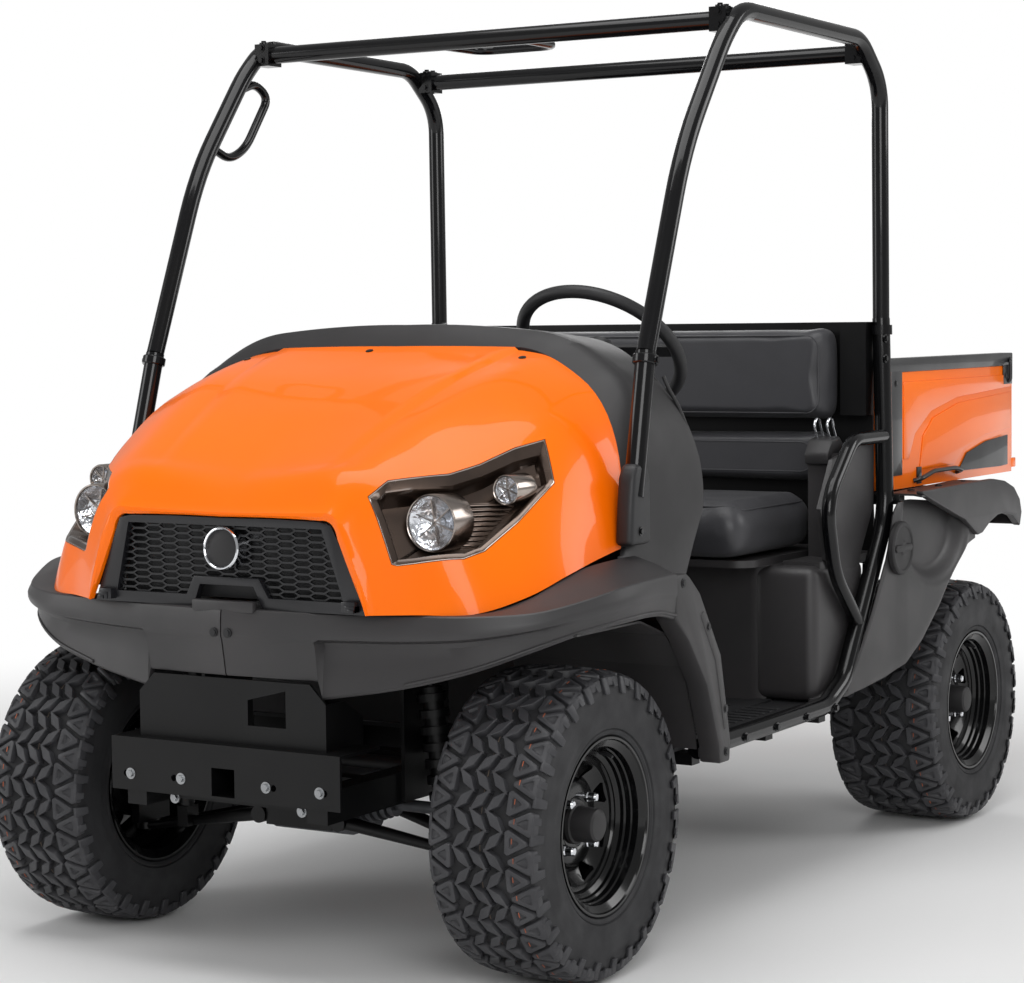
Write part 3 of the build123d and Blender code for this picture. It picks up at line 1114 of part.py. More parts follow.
hinge_post = None
for x in (-BED_HINGE_X, BED_HINGE_X):
    for side in (-1, 1):
        x_low, x_high = sorted((x + side * 21, x + side * 29))
        outline = [(ry(BED_HINGE_BACK) - 45, RAIL_TOP_Z + REAR_RAIL_LIFT),
                   (ry(BED_HINGE_BACK) + 45, RAIL_TOP_Z + REAR_RAIL_LIFT),
                   (ry(BED_HINGE_BACK) + 14, BED_HINGE_Z + 12), (ry(BED_HINGE_BACK) - 14, BED_HINGE_Z + 12)]
        ear = side_plate(outline, x_low, x_high)
        hinge_post = ear if hinge_post is None else hinge_post + ear
    hinge_post += rod((x - 36, ry(BED_HINGE_BACK), BED_HINGE_Z), (x + 36, ry(BED_HINGE_BACK), BED_HINGE_Z),
                      8)
support = None
for y, foot_z in zip(BED_BEAMS, (RAIL_TOP_Z, RAIL_TOP_Z + REAR_RAIL_LIFT)):
    legs = both(block((RAIL_X - 17, RAIL_X + 17), (y - 17, y + 17), (foot_z, BED_LOW_Z - 26)))
    beam = block((-BEAM_HALF, BEAM_HALF), (y - 20, y + 20), (BED_LOW_Z - 30, BED_LOW_Z - 6))
    support = (legs + beam) if support is None else support + legs + beam
write("bed_supports", Compound([hinge_post, support]))
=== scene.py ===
"""Compact utility side by side: finishes, moulded body, wheels, seat, bed and studio light."""
import json
from contextlib import contextmanager
from math import cos, hypot, pi, radians, sin, tau

import bmesh
import bpy
from mathutils import Matrix, Vector
from mathutils.bvhtree import BVHTree


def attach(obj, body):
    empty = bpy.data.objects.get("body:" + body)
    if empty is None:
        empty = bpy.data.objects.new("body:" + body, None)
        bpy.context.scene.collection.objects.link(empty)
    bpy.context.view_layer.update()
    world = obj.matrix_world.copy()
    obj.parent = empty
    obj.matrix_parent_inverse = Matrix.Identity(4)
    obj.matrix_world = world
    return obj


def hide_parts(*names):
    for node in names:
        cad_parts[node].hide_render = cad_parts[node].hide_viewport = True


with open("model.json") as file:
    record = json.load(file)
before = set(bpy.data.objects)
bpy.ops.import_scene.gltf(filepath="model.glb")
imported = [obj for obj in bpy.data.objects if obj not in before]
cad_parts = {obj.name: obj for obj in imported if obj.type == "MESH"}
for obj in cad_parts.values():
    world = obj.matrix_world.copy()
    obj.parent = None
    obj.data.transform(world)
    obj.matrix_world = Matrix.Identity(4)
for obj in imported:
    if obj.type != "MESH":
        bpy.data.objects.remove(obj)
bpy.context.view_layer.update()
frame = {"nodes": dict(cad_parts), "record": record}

# ------------------------------------------------------------------ places, in millimetres
MM = 0.001
FRONT_AXLE_Y = -981.0
REAR_AXLE_Y = 829.0
AXLE_Z = 295.0
TYRE_RADIUS = 295.0
FRONT_TRACK_HALF = 527.0
REAR_TRACK_HALF = 529.0


def fy(back):
    """Y of a place a distance behind the front axle."""
    return FRONT_AXLE_Y + back


def ry(back):
    """Y of a place a distance behind the rear axle."""
    return REAR_AXLE_Y + back


# ------------------------------------------------------------------ colours and shader groups
def linear(red, green, blue):
    """Linear colour from the 0 to 255 values that a paint card gives."""
    values = []
    for level in (red, green, blue):
        level /= 255
        values.append(level / 12.92 if level <= 0.04045 else ((level + 0.055) / 1.055) ** 2.4)
    return (*values, 1.0)


def group_tree(name, inputs, outputs):
    """An empty shader group with named float, colour or vector sockets."""
    tree = bpy.data.node_groups.new(name, "ShaderNodeTree")
    for label, kind, default in inputs:
        socket = tree.interface.new_socket(label, in_out="INPUT", socket_type=kind)
        if default is not None:
            socket.default_value = default
    for label, kind in outputs:
        tree.interface.new_socket(label, in_out="OUTPUT", socket_type=kind)
    return tree, tree.nodes.new("NodeGroupInput"), tree.nodes.new("NodeGroupOutput")


def set_inputs(node, values):
    """Fixed values for a node's named sockets."""
    for label, value in values.items():
        node.inputs[label].default_value = value


def math_node(tree, operation, first, second=None, clamp=False):
    """A math node fed by sockets or plain numbers."""
    node = tree.nodes.new("ShaderNodeMath")
    node.operation = operation
    node.use_clamp = clamp
    for socket, value in zip(node.inputs, (first, second)):
        if value is None:
            continue
        if isinstance(value, (int, float)):
            socket.default_value = value
        else:
            tree.links.new(value, socket)
    return node.outputs[0]


def make_moulded_grain():
    """Leathery pebble of moulded plastic or vinyl: a height and a softer cloud of tone."""
    tree, source, result = group_tree(
        "moulded_grain",
        [("Coordinates", "NodeSocketVector", None), ("Pebble Scale", "NodeSocketFloat", 900.0),
         ("Cloud Scale", "NodeSocketFloat", 6.0)],
        [("Height", "NodeSocketFloat"), ("Cloud", "NodeSocketFloat")])
    pebble = tree.nodes.new("ShaderNodeTexVoronoi")
    pebble.feature = "SMOOTH_F1"
    fine = tree.nodes.new("ShaderNodeTexNoise")
    fine.inputs["Detail"].default_value = 2.0
    cloud = tree.nodes.new("ShaderNodeTexNoise")
    cloud.inputs["Detail"].default_value = 4.0
    for node in (pebble, fine, cloud):
        tree.links.new(source.outputs["Coordinates"], node.inputs["Vector"])
    tree.links.new(source.outputs["Pebble Scale"], pebble.inputs["Scale"])
    tree.links.new(source.outputs["Pebble Scale"], fine.inputs["Scale"])
    tree.links.new(source.outputs["Cloud Scale"], cloud.inputs["Scale"])
    height = math_node(tree, "ADD", pebble.outputs["Distance"], fine.outputs["Fac"])
    tree.links.new(height, result.inputs["Height"])
    tree.links.new(cloud.outputs["Fac"], result.inputs["Cloud"])
    return tree


def make_tone_drift():
    """Colour that drifts between two tones, and a roughness that drifts with it."""
    tree, source, result = group_tree(
        "tone_drift",
        [("Cloud", "NodeSocketFloat", 0.5), ("Tone", "NodeSocketColor", (0.5, 0.5, 0.5, 1)),
         ("Other Tone", "NodeSocketColor", (0.4, 0.4, 0.4, 1)), ("Low Roughness", "NodeSocketFloat", 0.4),
         ("High Roughness", "NodeSocketFloat", 0.5)],
        [("Color", "NodeSocketColor"), ("Roughness", "NodeSocketFloat")])
    spread = tree.nodes.new("ShaderNodeMapRange")
    set_inputs(spread, {"From Min": 0.35, "From Max": 0.65})
    tree.links.new(source.outputs["Cloud"], spread.inputs["Value"])
    blend = tree.nodes.new("ShaderNodeMix")
    blend.data_type = "RGBA"
    tree.links.new(spread.outputs["Result"], blend.inputs["Factor"])
    tree.links.new(source.outputs["Tone"], blend.inputs["A"])
    tree.links.new(source.outputs["Other Tone"], blend.inputs["B"])
    colour_out = next(socket for socket in blend.outputs if socket.type == "RGBA")
    tree.links.new(colour_out, result.inputs["Color"])
    shine = tree.nodes.new("ShaderNodeMapRange")
    tree.links.new(spread.outputs["Result"], shine.inputs["Value"])
    tree.links.new(source.outputs["Low Roughness"], shine.inputs["To Min"])
    tree.links.new(source.outputs["High Roughness"], shine.inputs["To Max"])
    tree.links.new(shine.outputs["Result"], result.inputs["Roughness"])
    return tree


MOULDED_GRAIN = make_moulded_grain()
TONE_DRIFT = make_tone_drift()


def finish(name, tone, other, roughness, metallic=0.0, coat=0.0, coat_roughness=0.05, pebble=900.0,
           cloud=6.0, depth=0.0, specular=0.5, sheen=0.0, distance=0.0004):
    """A painted, moulded or cast finish on object coordinates.

    roughness is a (low, high) pair. depth is the strength of the pebble bump, 0 for none.
    """
    material = bpy.data.materials.new(name)
    material.use_nodes = True
    tree = material.node_tree
    shader = tree.nodes["Principled BSDF"]
    place = tree.nodes.new("ShaderNodeTexCoord")
    grain = tree.nodes.new("ShaderNodeGroup")
    grain.node_tree = MOULDED_GRAIN
    set_inputs(grain, {"Pebble Scale": pebble, "Cloud Scale": cloud})
    tree.links.new(place.outputs["Object"], grain.inputs["Coordinates"])
    drift = tree.nodes.new("ShaderNodeGroup")
    drift.node_tree = TONE_DRIFT
    set_inputs(drift, {"Tone": tone, "Other Tone": other, "Low Roughness": roughness[0],
                       "High Roughness": roughness[1]})
    tree.links.new(grain.outputs["Cloud"], drift.inputs["Cloud"])
    tree.links.new(drift.outputs["Color"], shader.inputs["Base Color"])
    tree.links.new(drift.outputs["Roughness"], shader.inputs["Roughness"])
    if depth:
        bump = tree.nodes.new("ShaderNodeBump")
        set_inputs(bump, {"Strength": depth, "Distance": distance})
        tree.links.new(grain.outputs["Height"], bump.inputs["Height"])
        tree.links.new(bump.outputs["Normal"], shader.inputs["Normal"])
    set_inputs(shader, {"Metallic": metallic, "Coat Weight": coat, "Coat Roughness": coat_roughness,
                        "Specular IOR Level": specular, "Sheen Weight": sheen})
    return material


LENS_INDEX = 1.45


def clear_glass(name, tint, roughness, weight, opacity):
    """A moulded lamp lens."""
    material = finish(name, tint, tint, (roughness, roughness))
    shader = material.node_tree.nodes["Principled BSDF"]
    set_inputs(shader, {"Transmission Weight": weight, "IOR": LENS_INDEX, "Alpha": opacity})
    return material


ORANGE = finish("body_orange", linear(255, 115, 2), linear(255, 110, 1), (0.28, 0.34), coat=0.32,
                coat_roughness=0.03, specular=0.12, pebble=260.0, cloud=2.5, depth=0.012, distance=0.0006)
BED_ORANGE = finish("bed_orange", linear(255, 117, 4), linear(252, 112, 3), (0.30, 0.36), coat=0.45,
                    coat_roughness=0.05, specular=0.15, pebble=300.0, cloud=3.0, depth=0.02,
                    distance=0.0006)
BED_BLACK = finish("bed_black", linear(30, 30, 32), linear(24, 24, 26), (0.36, 0.46), coat=0.3,
                   pebble=420.0, depth=0.12)
TUBE_BLACK = finish("frame_black", linear(10, 10, 12), linear(8, 8, 9), (0.16, 0.22), specular=0.2,
                    coat=0.3, coat_roughness=0.05, pebble=260.0, depth=0.05)
CHASSIS_BLACK = finish("chassis_black", linear(8, 8, 9), linear(6, 6, 7), (0.38, 0.48), specular=0.25,
                       coat=0.08, coat_roughness=0.2, pebble=420.0, depth=0.10)
CHARCOAL = finish("moulded_charcoal", linear(52, 50, 51), linear(45, 44, 45), (0.38, 0.48),
                  pebble=1100.0, cloud=5.0, depth=0.32)
COWL_BLACK = finish("moulded_black", linear(42, 41, 42), linear(36, 35, 36), (0.44, 0.56), specular=0.4,
                    pebble=1100.0, cloud=5.0, depth=0.30)
SEAT_VINYL = finish("seat_vinyl", linear(58, 58, 61), linear(51, 51, 54), (0.36, 0.46), pebble=760.0,
                    cloud=8.0, depth=0.34, specular=0.45, sheen=0.05)
# Carcass rubber, darker than the tread lugs: partly the rubber's own tone, partly painted shade, since the
# carcass also floors the grooves between the lugs.
RUBBER_AND_GROOVE_SHADE = finish("tyre_rubber", linear(42, 42, 44), linear(34, 34, 36), (0.58, 0.74), pebble=520.0,
                cloud=14.0, depth=0.18, specular=0.4)
TREAD_RUBBER = finish("tread_rubber", linear(58, 58, 61), linear(47, 47, 50), (0.46, 0.60), pebble=640.0,
                      cloud=18.0, depth=0.25, specular=0.45)
RIM_BLACK = finish("rim_black", linear(8, 8, 9), linear(6, 6, 7), (0.18, 0.26), coat=0.4, specular=0.2,
                   coat_roughness=0.08, pebble=300.0, depth=0.05)
SOFT_BLACK = finish("soft_black", linear(26, 26, 28), linear(20, 20, 22), (0.46, 0.60), pebble=800.0,
                    depth=0.25)
GRILLE_BLACK = finish("grille_black", linear(26, 26, 29), linear(20, 20, 23), (0.30, 0.38),
                      pebble=900.0, depth=0.16)
CHROME = finish("bright_chrome", linear(226, 228, 232), linear(214, 216, 220), (0.06, 0.12), metallic=1.0,
                pebble=200.0)
REFLECTOR = finish("lamp_reflector", linear(244, 246, 250), linear(224, 227, 233), (0.06, 0.12),
                   metallic=0.85, pebble=100.0, cloud=30.0, depth=0.5, distance=0.003)
BRONZE = finish("lamp_bezel", linear(92, 76, 66), linear(70, 58, 51), (0.24, 0.34), metallic=0.85,
                coat=0.6, pebble=500.0, cloud=9.0, depth=0.04)
BRONZE_EDGE = finish("bezel_edge", linear(178, 168, 160), linear(154, 144, 138), (0.16, 0.24), metallic=1.0,
                     pebble=300.0)
CAST_METAL = finish("drive_metal", linear(92, 93, 96), linear(72, 73, 76), (0.42, 0.58), metallic=0.6,
                    pebble=380.0, cloud=10.0, depth=0.25)
ZINC = finish("plated_steel", linear(168, 170, 172), linear(148, 150, 152), (0.26, 0.40), metallic=0.95,
              pebble=300.0)
ORANGE_DASH = finish("paint_dash", linear(170, 86, 50), linear(130, 68, 44), (0.6, 0.7), pebble=600.0)
TAN_LINE = finish("parting_line", linear(112, 96, 82), linear(88, 78, 70), (0.7, 0.8), pebble=600.0)
LENS = clear_glass("lamp_lens", linear(250, 252, 255), 0.02, 0.97, 0.10)
RED_LENS = clear_glass("tail_red", linear(200, 22, 20), 0.08, 0.45, 1.0)

NODE_FINISH = {
    "hood": ORANGE, "bed_skins": BED_ORANGE, "tailgate": BED_ORANGE, "bed_tub": BED_BLACK,
    "bed_rail": BED_BLACK, "grille_frame": GRILLE_BLACK, "grille_mesh": GRILLE_BLACK,
    "grille_roundel": CHROME, "engine_block": CAST_METAL, "front_drive": CAST_METAL,
    "rear_axle": CAST_METAL, "muffler": CAST_METAL, "steering_rack_housing": SOFT_BLACK,
    "steering_rack_and_tie_rods": CAST_METAL, "steering_wheel": SOFT_BLACK, "floor_pan": SOFT_BLACK,
    "cowl": COWL_BLACK, "dash_panel": COWL_BLACK, "steering_column": COWL_BLACK,
}
SLOT_FINISH = {
    "frame_black": TUBE_BLACK, "chassis_black": CHASSIS_BLACK, "moulded_charcoal": CHARCOAL,
    "seat_vinyl": SEAT_VINYL, "tyre_rubber": RUBBER_AND_GROOVE_SHADE, "rim_black": RIM_BLACK, "bed_black": BED_BLACK,
    "soft_black": SOFT_BLACK, "drive_metal": CAST_METAL,
}
SLOT_OF_NODE = {part["node"]: part["material_slot"] for part in frame["record"]["subparts"]}
for node_name, node in frame["nodes"].items():
    node_finish = NODE_FINISH.get(node_name) or SLOT_FINISH.get(SLOT_OF_NODE[node_name], CHARCOAL)
    node.data.materials.clear()
    node.data.materials.append(node_finish)


# ------------------------------------------------------------------ mesh helpers
def mesh_piece(name, points, faces, material):
    """A mesh object from points in millimetres."""
    mesh = bpy.data.meshes.new(name)
    mesh.from_pydata([(x * MM, y * MM, z * MM) for x, y, z in points], [], faces)
    mesh.materials.append(material)
    piece = bpy.data.objects.new(name, mesh)
    bpy.context.collection.objects.link(piece)
    return piece


@contextmanager
def edited(piece):
    """A piece's mesh to edit, written back at the end."""
    edit = bmesh.new()
    edit.from_mesh(piece.data)
    yield edit
    edit.to_mesh(piece.data)
    edit.free()


MERGE_DISTANCE = 0.00002


def tidy_mesh(piece, angle=38.0, flip=True):
    """Merges doubles, points the faces outwards and shades smooth up to an angle."""
    with edited(piece) as edit:
        bmesh.ops.remove_doubles(edit, verts=edit.verts, dist=MERGE_DISTANCE)
        if flip:
            bmesh.ops.recalc_face_normals(edit, faces=edit.faces)
    piece.data.shade_smooth()
    piece.data.set_sharp_from_angle(angle=radians(angle))
    return piece


def settle(piece):
    """Turns a piece's modifiers into a plain mesh."""
    depsgraph = bpy.context.evaluated_depsgraph_get()
    solid = bpy.data.meshes.new_from_object(piece.evaluated_get(depsgraph))
    old = piece.data
    piece.modifiers.clear()
    piece.data = solid
    bpy.data.meshes.remove(old)
    return piece


def join(name, pieces, material=None):
    """One plain mesh from several pieces, with their materials kept."""
    edit = bmesh.new()
    finishes = []
    for piece in pieces:
        start = len(edit.faces)
        edit.from_mesh(piece.data)
        edit.faces.ensure_lookup_table()
        own = [material] if material else list(piece.data.materials)
        finishes += [given for given in own if given not in finishes]
        places = [finishes.index(given) for given in own]
        for face in edit.faces[start:]:
            face.material_index = places[min(face.material_index, len(places) - 1)]
        bpy.data.objects.remove(piece)
    mesh = bpy.data.meshes.new(name)
    edit.to_mesh(mesh)
    edit.free()
    for own in finishes:
        mesh.materials.append(own)
    whole = bpy.data.objects.new(name, mesh)
    bpy.context.collection.objects.link(whole)
    return whole


def place(piece, body, slot, *nodes):
    """Rides a finished piece on its body, and lets it stand for CAD nodes."""
    if nodes:
        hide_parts(*nodes)
    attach(piece, body)
    return piece


def grid_faces(rows, columns, closed_rows=False, closed_columns=False):
    """Quads of a grid of rows x columns points."""
    faces = []
    for row in range(rows if closed_rows else rows - 1):
        for column in range(columns if closed_columns else columns - 1):
            after_row, after = (row + 1) % rows, (column + 1) % columns
            faces.append((row * columns + column, row * columns + after,
                          after_row * columns + after, after_row * columns + column))
    return faces


def grid_piece(name, rows, material, closed_rows=False, closed_columns=False):
    """A surface through rows of points."""
    points = [point for row in rows for point in row]
    return mesh_piece(name, points, grid_faces(len(rows), len(rows[0]), closed_rows, closed_columns),
                      material)


def thicken(piece, wall, offset=-1.0):
    """Gives an open surface its wall, inwards from the outer face."""
    modifier = piece.modifiers.new("wall", "SOLIDIFY")
    modifier.thickness = wall * MM
    modifier.offset = offset
    modifier.use_even_offset = True
    modifier.use_quality_normals = True
    return settle(piece)


def smooth_rows(rows, steps):
    """More rows between the given ones, each column on a smooth curve through its points."""
    count = len(rows)
    result = []
    for index in range(count - 1):
        for step in range(steps):
            share = step / steps
            row = []
            for column in range(len(rows[0])):
                line = [Vector(rows[max(0, min(count - 1, index + shift))][column])
                        for shift in (-1, 0, 1, 2)]
                first, second = line[1], line[2]
                gap = (second - first).length or 1.0
                before = (first - line[0]).length or gap
                after = (line[3] - second).length or gap
                onward = (second - first) / gap
                start = ((first - line[0]) / before + onward) / 2 if index else onward
                end = ((line[3] - second) / after + (second - first) / gap) / 2
                if index == count - 2:
                    end = (second - first) / gap
                s2, s3 = share * share, share ** 3
                row.append(first * (2 * s3 - 3 * s2 + 1) + start * gap * (s3 - 2 * s2 + share)
                           + second * (3 * s2 - 2 * s3) + end * gap * (s3 - s2))
            result.append([tuple(point) for point in row])
    result.append([tuple(point) for point in rows[-1]])
    return result


def transpose(rows):
    """Rows become columns."""
    return [list(column) for column in zip(*rows)]


def mirror_piece(piece, name):
    """The same piece on the other side, facing outwards."""
    twin = bpy.data.objects.new(name, piece.data.copy())
    bpy.context.collection.objects.link(twin)
    with edited(twin) as edit:
        for vertex in edit.verts:
            vertex.co.x = -vertex.co.x
        bmesh.ops.reverse_faces(edit, faces=edit.faces)
    return twin


def both_sides(piece, name):
    """A piece and its mirror image as one mesh."""
    return join(name, [piece, mirror_piece(piece, name + "_twin")])


def bevelled(piece, width, segments=2, angle=30.0):
    """Rounds the edges that turn more than an angle."""
    modifier = piece.modifiers.new("rounding", "BEVEL")
    modifier.width = width * MM
    modifier.segments = segments
    modifier.limit_method = "ANGLE"
    modifier.angle_limit = radians(angle)
    modifier.harden_normals = False
    return settle(piece)


# Faces of a box whose corners run low to high along three nested loops.
BOX_FACES = [(0, 1, 3, 2), (4, 6, 7, 5), (0, 4, 5, 1), (2, 3, 7, 6), (0, 2, 6, 4), (1, 5, 7, 3)]


def rounded_block(name, x, y, z, material, radius=3.0, segments=2):
    """A box between (low, high) pairs with rounded edges."""
    corners = [(a, b, c) for a in x for b in y for c in z]
    return tidy_mesh(bevelled(mesh_piece(name, corners, BOX_FACES, material), radius, segments))


def across(side=1):
    """Frame of a slab with a (y, z) outline, thick along X on the left (1) or right (-1)."""
    return lambda u, v, w: (side * w, u, v)


def upright(y):
    """Frame of a slab with an (x, z) outline, thick along Y from a place."""
    return lambda u, v, w: (u, y + w, v)


def level(u, v, w):
    """Frame of a slab with an (x, y) outline, thick along Z."""
    return (u, v, w)


def slab(name, outline, frame_point, low, high, material, radius=1.5):
    """A flat outline made thick. frame_point(u, v, w) gives the place of a point at depth w."""
    count = len(outline)
    points = [frame_point(u, v, w) for w in (low, high) for u, v in outline]
    faces = [tuple(range(count)), tuple(range(2 * count - 1, count - 1, -1))]
    faces += [(i, (i + 1) % count, (i + 1) % count + count, i + count) for i in range(count)]
    piece = tidy_mesh(mesh_piece(name, points, faces, material))
    return tidy_mesh(bevelled(piece, radius)) if radius else piece


def frame_along(path):
    """Tangent and two normals at each point of a path, turned as little as possible."""
    points = [Vector(point) for point in path]
    tangents = []
    for index in range(len(points)):
        before, after = points[max(index - 1, 0)], points[min(index + 1, len(points) - 1)]
        tangents.append((after - before).normalized())
    side = tangents[0].orthogonal().normalized()
    frames = []
    for point, tangent in zip(points, tangents):
        side = (side - tangent * side.dot(tangent)).normalized()
        frames.append((point, tangent, side, tangent.cross(side)))
    return frames


def rod_mesh(name, path, radius, material, segments=16, closed_ends=True):
    """A round bar along a path. radius is one value or one for each point."""
    radii = radius if isinstance(radius, (list, tuple)) else [radius] * len(path)
    rows = []
    for (point, _, side, up), own in zip(frame_along(path), radii):
        rows.append([tuple(point + (side * cos(tau * k / segments) + up * sin(tau * k / segments)) * own)
                     for k in range(segments)])
    points = [point for row in rows for point in row]
    faces = grid_faces(len(rows), segments, closed_columns=True)
    if closed_ends:
        faces.append(tuple(range(segments))[::-1])
        faces.append(tuple(range(len(points) - segments, len(points))))
    return tidy_mesh(mesh_piece(name, points, faces, material))


def rounded_path(points, radius, steps=7):
    """A path whose inner corners are rounded."""
    corners = [Vector(point) for point in points]
    path = [corners[0]]
    for before, corner, after in zip(corners, corners[1:], corners[2:]):
        into, out = (before - corner), (after - corner)
        reach = min(radius, into.length * 0.48, out.length * 0.48)
        start, end = corner + into.normalized() * reach, corner + out.normalized() * reach
        for step in range(steps + 1):
            share = step / steps
            path.append(start.lerp(corner, share).lerp(corner.lerp(end, share), share))
    path.append(corners[-1])
    return [tuple(point) for point in path]


def turned(name, profile, centre, axis, material, segments=64, angle=30.0):
    """A turned piece: profile of (along, radius) about an axis through centre."""
    axis = Vector(axis).normalized()
    side = axis.orthogonal().normalized()
    up = axis.cross(side)
    centre = Vector(centre)
    turns = [tau * k / segments for k in range(segments)]
    rows = []
    for along, radius in profile:
        rows.append([tuple(centre + axis * along + (side * cos(turn) + up * sin(turn)) * max(radius, 0.001))
                     for turn in turns])
    piece = grid_piece(name, rows, material, closed_columns=True)
    return tidy_mesh(piece, angle)


def cut(piece, tool, keep=False, operation="DIFFERENCE"):
    """Cuts one closed mesh by another."""
    modifier = piece.modifiers.new("cut", "BOOLEAN")
    modifier.object = tool
    modifier.operation = operation
    modifier.solver = "EXACT"
    settle(piece)
    if not keep:
        bpy.data.objects.remove(tool)
    return piece


# ------------------------------------------------------------------ hood
# Columns: back from the front axle, then (x, z) of centre, arc, ridge, arc, shoulder, arc, foot.
HOOD_SECTIONS = [
    (-331, [(0, 890), (120, 892), (236, 897), (262, 890), (282, 862), (306, 800), (326, 709)]),
    (-286, [(0, 938), (100, 950), (192, 962), (262, 957), (320, 922), (372, 850), (400, 709)]),
    (-240, [(0, 965), (105, 972), (200, 982), (282, 980), (360, 942), (438, 862), (494, 710)]),
    (-150, [(0, 1018), (110, 1022), (215, 1030), (300, 1026), (390, 984), (482, 890), (556, 736)]),
    (-54, [(0, 1071), (115, 1072), (232, 1076), (320, 1072), (412, 1032), (510, 935), (585, 768)]),
    (60, [(0, 1120), (125, 1121), (255, 1125), (335, 1120), (425, 1085), (530, 985), (589, 790)]),
    (180, [(0, 1160), (135, 1160), (275, 1163), (352, 1154), (440, 1118), (545, 1000), (591, 806)]),
    (290, [(0, 1196), (140, 1196), (288, 1192), (362, 1176), (450, 1128), (548, 1012), (593, 806)]),
]
GRILLE_RIM = [(0, 879), (125, 880), (224, 878), (249, 872), (262, 846), (292, 777), (323, 709)]
SEAM_BACK, SEAM_Z, SEAM_SLOPE = 266.0, 1191.0, 0.325
HOOD_WALL = 4.0
CREASE = 6.0


def smooth_step(value, low, high):
    """0 below low, 1 above high, with an even run between."""
    share = min(1.0, max(0.0, (value - low) / (high - low)))
    return share * share * (3 - 2 * share)


def bowed(first, middle, last, count):
    """Points of an even bow through three points, without the last."""
    points = []
    for step in range(count):
        t = step / count
        weights = ((1 - t) * (1 - 2 * t), 4 * t * (1 - t), t * (2 * t - 1))
        points.append(tuple(a * weights[0] + b * weights[1] + c * weights[2]
                            for a, b, c in zip(first, middle, last)))
    return points


def half_section(half, counts=(10, 14, 12), crease=0.0):
    """Section points from the centre line out to the foot, with a pressed crease outside the ridge."""
    points = []
    for index, count in zip((0, 2, 4), counts):
        points += bowed(half[index], half[index + 1], half[index + 2], count)
    ridge = half[2][0]
    points = [(x, z - crease * smooth_step(x - ridge, 0, 9) * (1 - smooth_step(x - ridge, 26, 96)))
              for x, z in points]
    return points + [half[6]]


def full_row(back, half, crease=0.0):
    """A whole row across the body, right foot to left foot."""
    points = half_section(half, crease=crease)
    y = fy(back)
    return [(-x, y, z) for x, z in points[:0:-1]] + [(x, y, z) for x, z in points]


def bisect(piece, spot, normal):
    """Removes what lies beyond a plane, on the side of its normal."""
    with edited(piece) as edit:
        geometry = edit.verts[:] + edit.edges[:] + edit.faces[:]
        bmesh.ops.bisect_plane(edit, geom=geometry, plane_co=[value * MM for value in spot],
                               plane_no=normal, clear_outer=True)
    return piece


def blend_half(first, second, share):
    """Half section between two, share of the way."""
    return [(a[0] + (b[0] - a[0]) * share, a[1] + (b[1] - a[1]) * share) for a, b in zip(first, second)]


def hood_surface():
    """The outer face of the hood, from the grille's rim to the seam before the cowl."""
    nose = HOOD_SECTIONS[0][1]
    rows = [full_row(back, half, CREASE * smooth_step(back, -320, -180)) for back, half in HOOD_SECTIONS]
    rows = smooth_rows(rows, 6)
    lip = [full_row(-322, GRILLE_RIM), full_row(-332, GRILLE_RIM),
           full_row(-336.5, blend_half(GRILLE_RIM, nose, 0.35)),
           full_row(-336, blend_half(GRILLE_RIM, nose, 0.75))]
    surface = grid_piece("hood_skin", lip + rows, ORANGE)
    bisect(surface, (0, fy(SEAM_BACK - 1), SEAM_Z), (0, 1, -SEAM_SLOPE))
    return tidy_mesh(surface)


def make_hood():
    """Hood shell with both lamp openings cut through, and its skin kept for the lamps to follow."""
    skin = hood_surface()
    tree = surface_tree(skin)
    shell = tidy_mesh(thicken(skin, HOOD_WALL))
    for side in (1, -1):
        tool = slab("lamp_opening", LAMP_OUTLINE[::side], lambda u, v, w: lamp_point(u, v, w, side),
                    -90, 90, CHARCOAL, 0)
        cut(shell, tool)
    shell.name = "hood_shell"
    place(tidy_mesh(shell), "vehicle", "body_orange", "hood")
    return tree


def surface_tree(piece):
    """Search tree of a piece's faces, in millimetres."""
    points = [vertex.co / MM for vertex in piece.data.vertices]
    return BVHTree.FromPolygons(points, [tuple(face.vertices) for face in piece.data.polygons])


# ------------------------------------------------------------------ headlamps
LAMP_CENTRE = Vector((430, fy(-149), 900))
LAMP_NORMAL = Vector((0.62, -0.62, 0.42)).normalized()
LAMP_U = Vector((1, 1, 0)).normalized()
LAMP_V = LAMP_NORMAL.cross(LAMP_U)
# Columns: u along the corner, v upwards, inset of the edge that starts here.
LAMP_EDGES = [
    (-192, 14, 12), (-179, 23, 12), (-152, 44, 20), (-37, 54, 20), (26, 76, 20), (100, 114, 22),
    (167, 137, 12), (172, 43, 8), (83, -47, 8), (11, -106, 8), (-30, -121, 10), (-148, -119, 10),
    (-158, -115, 12),
]
LAMP_OUTLINE = [(u, v) for u, v, _ in LAMP_EDGES]
MAIN_LAMP = ((397, fy(-228), 871), 54.0)
SMALL_LAMP = ((484, fy(-106), 926), 29.0)
LAMP_FLOOR = -34.0
LAMP_EDGE_STEPS = 9


def lamp_point(u, v, w, side=1):
    """A point over the lamp's plane, on the left (1) or right (-1)."""
    point = LAMP_CENTRE + LAMP_U * u + LAMP_V * v + LAMP_NORMAL * w
    return (side * point.x, point.y, point.z)


def inset_outline(outline, insets):
    """Corners of an outline whose edges move inwards by their own amounts."""
    count = len(outline)
    lines = []
    for index, inset in enumerate(insets):
        a, b = Vector(outline[index]), Vector(outline[(index + 1) % count])
        along = (b - a).normalized()
        inward = Vector((along.y, -along.x))
        lines.append((a + inward * inset, along))
    corners = []
    for index in range(count):
        (p, d), (q, e) = lines[index - 1], lines[index]
        turn = d.x * e.y - d.y * e.x
        gap = q - p
        corners.append(tuple(p + d * ((gap.x * e.y - gap.y * e.x) / turn)) if abs(turn) > 0.02 else tuple(q))
    return corners


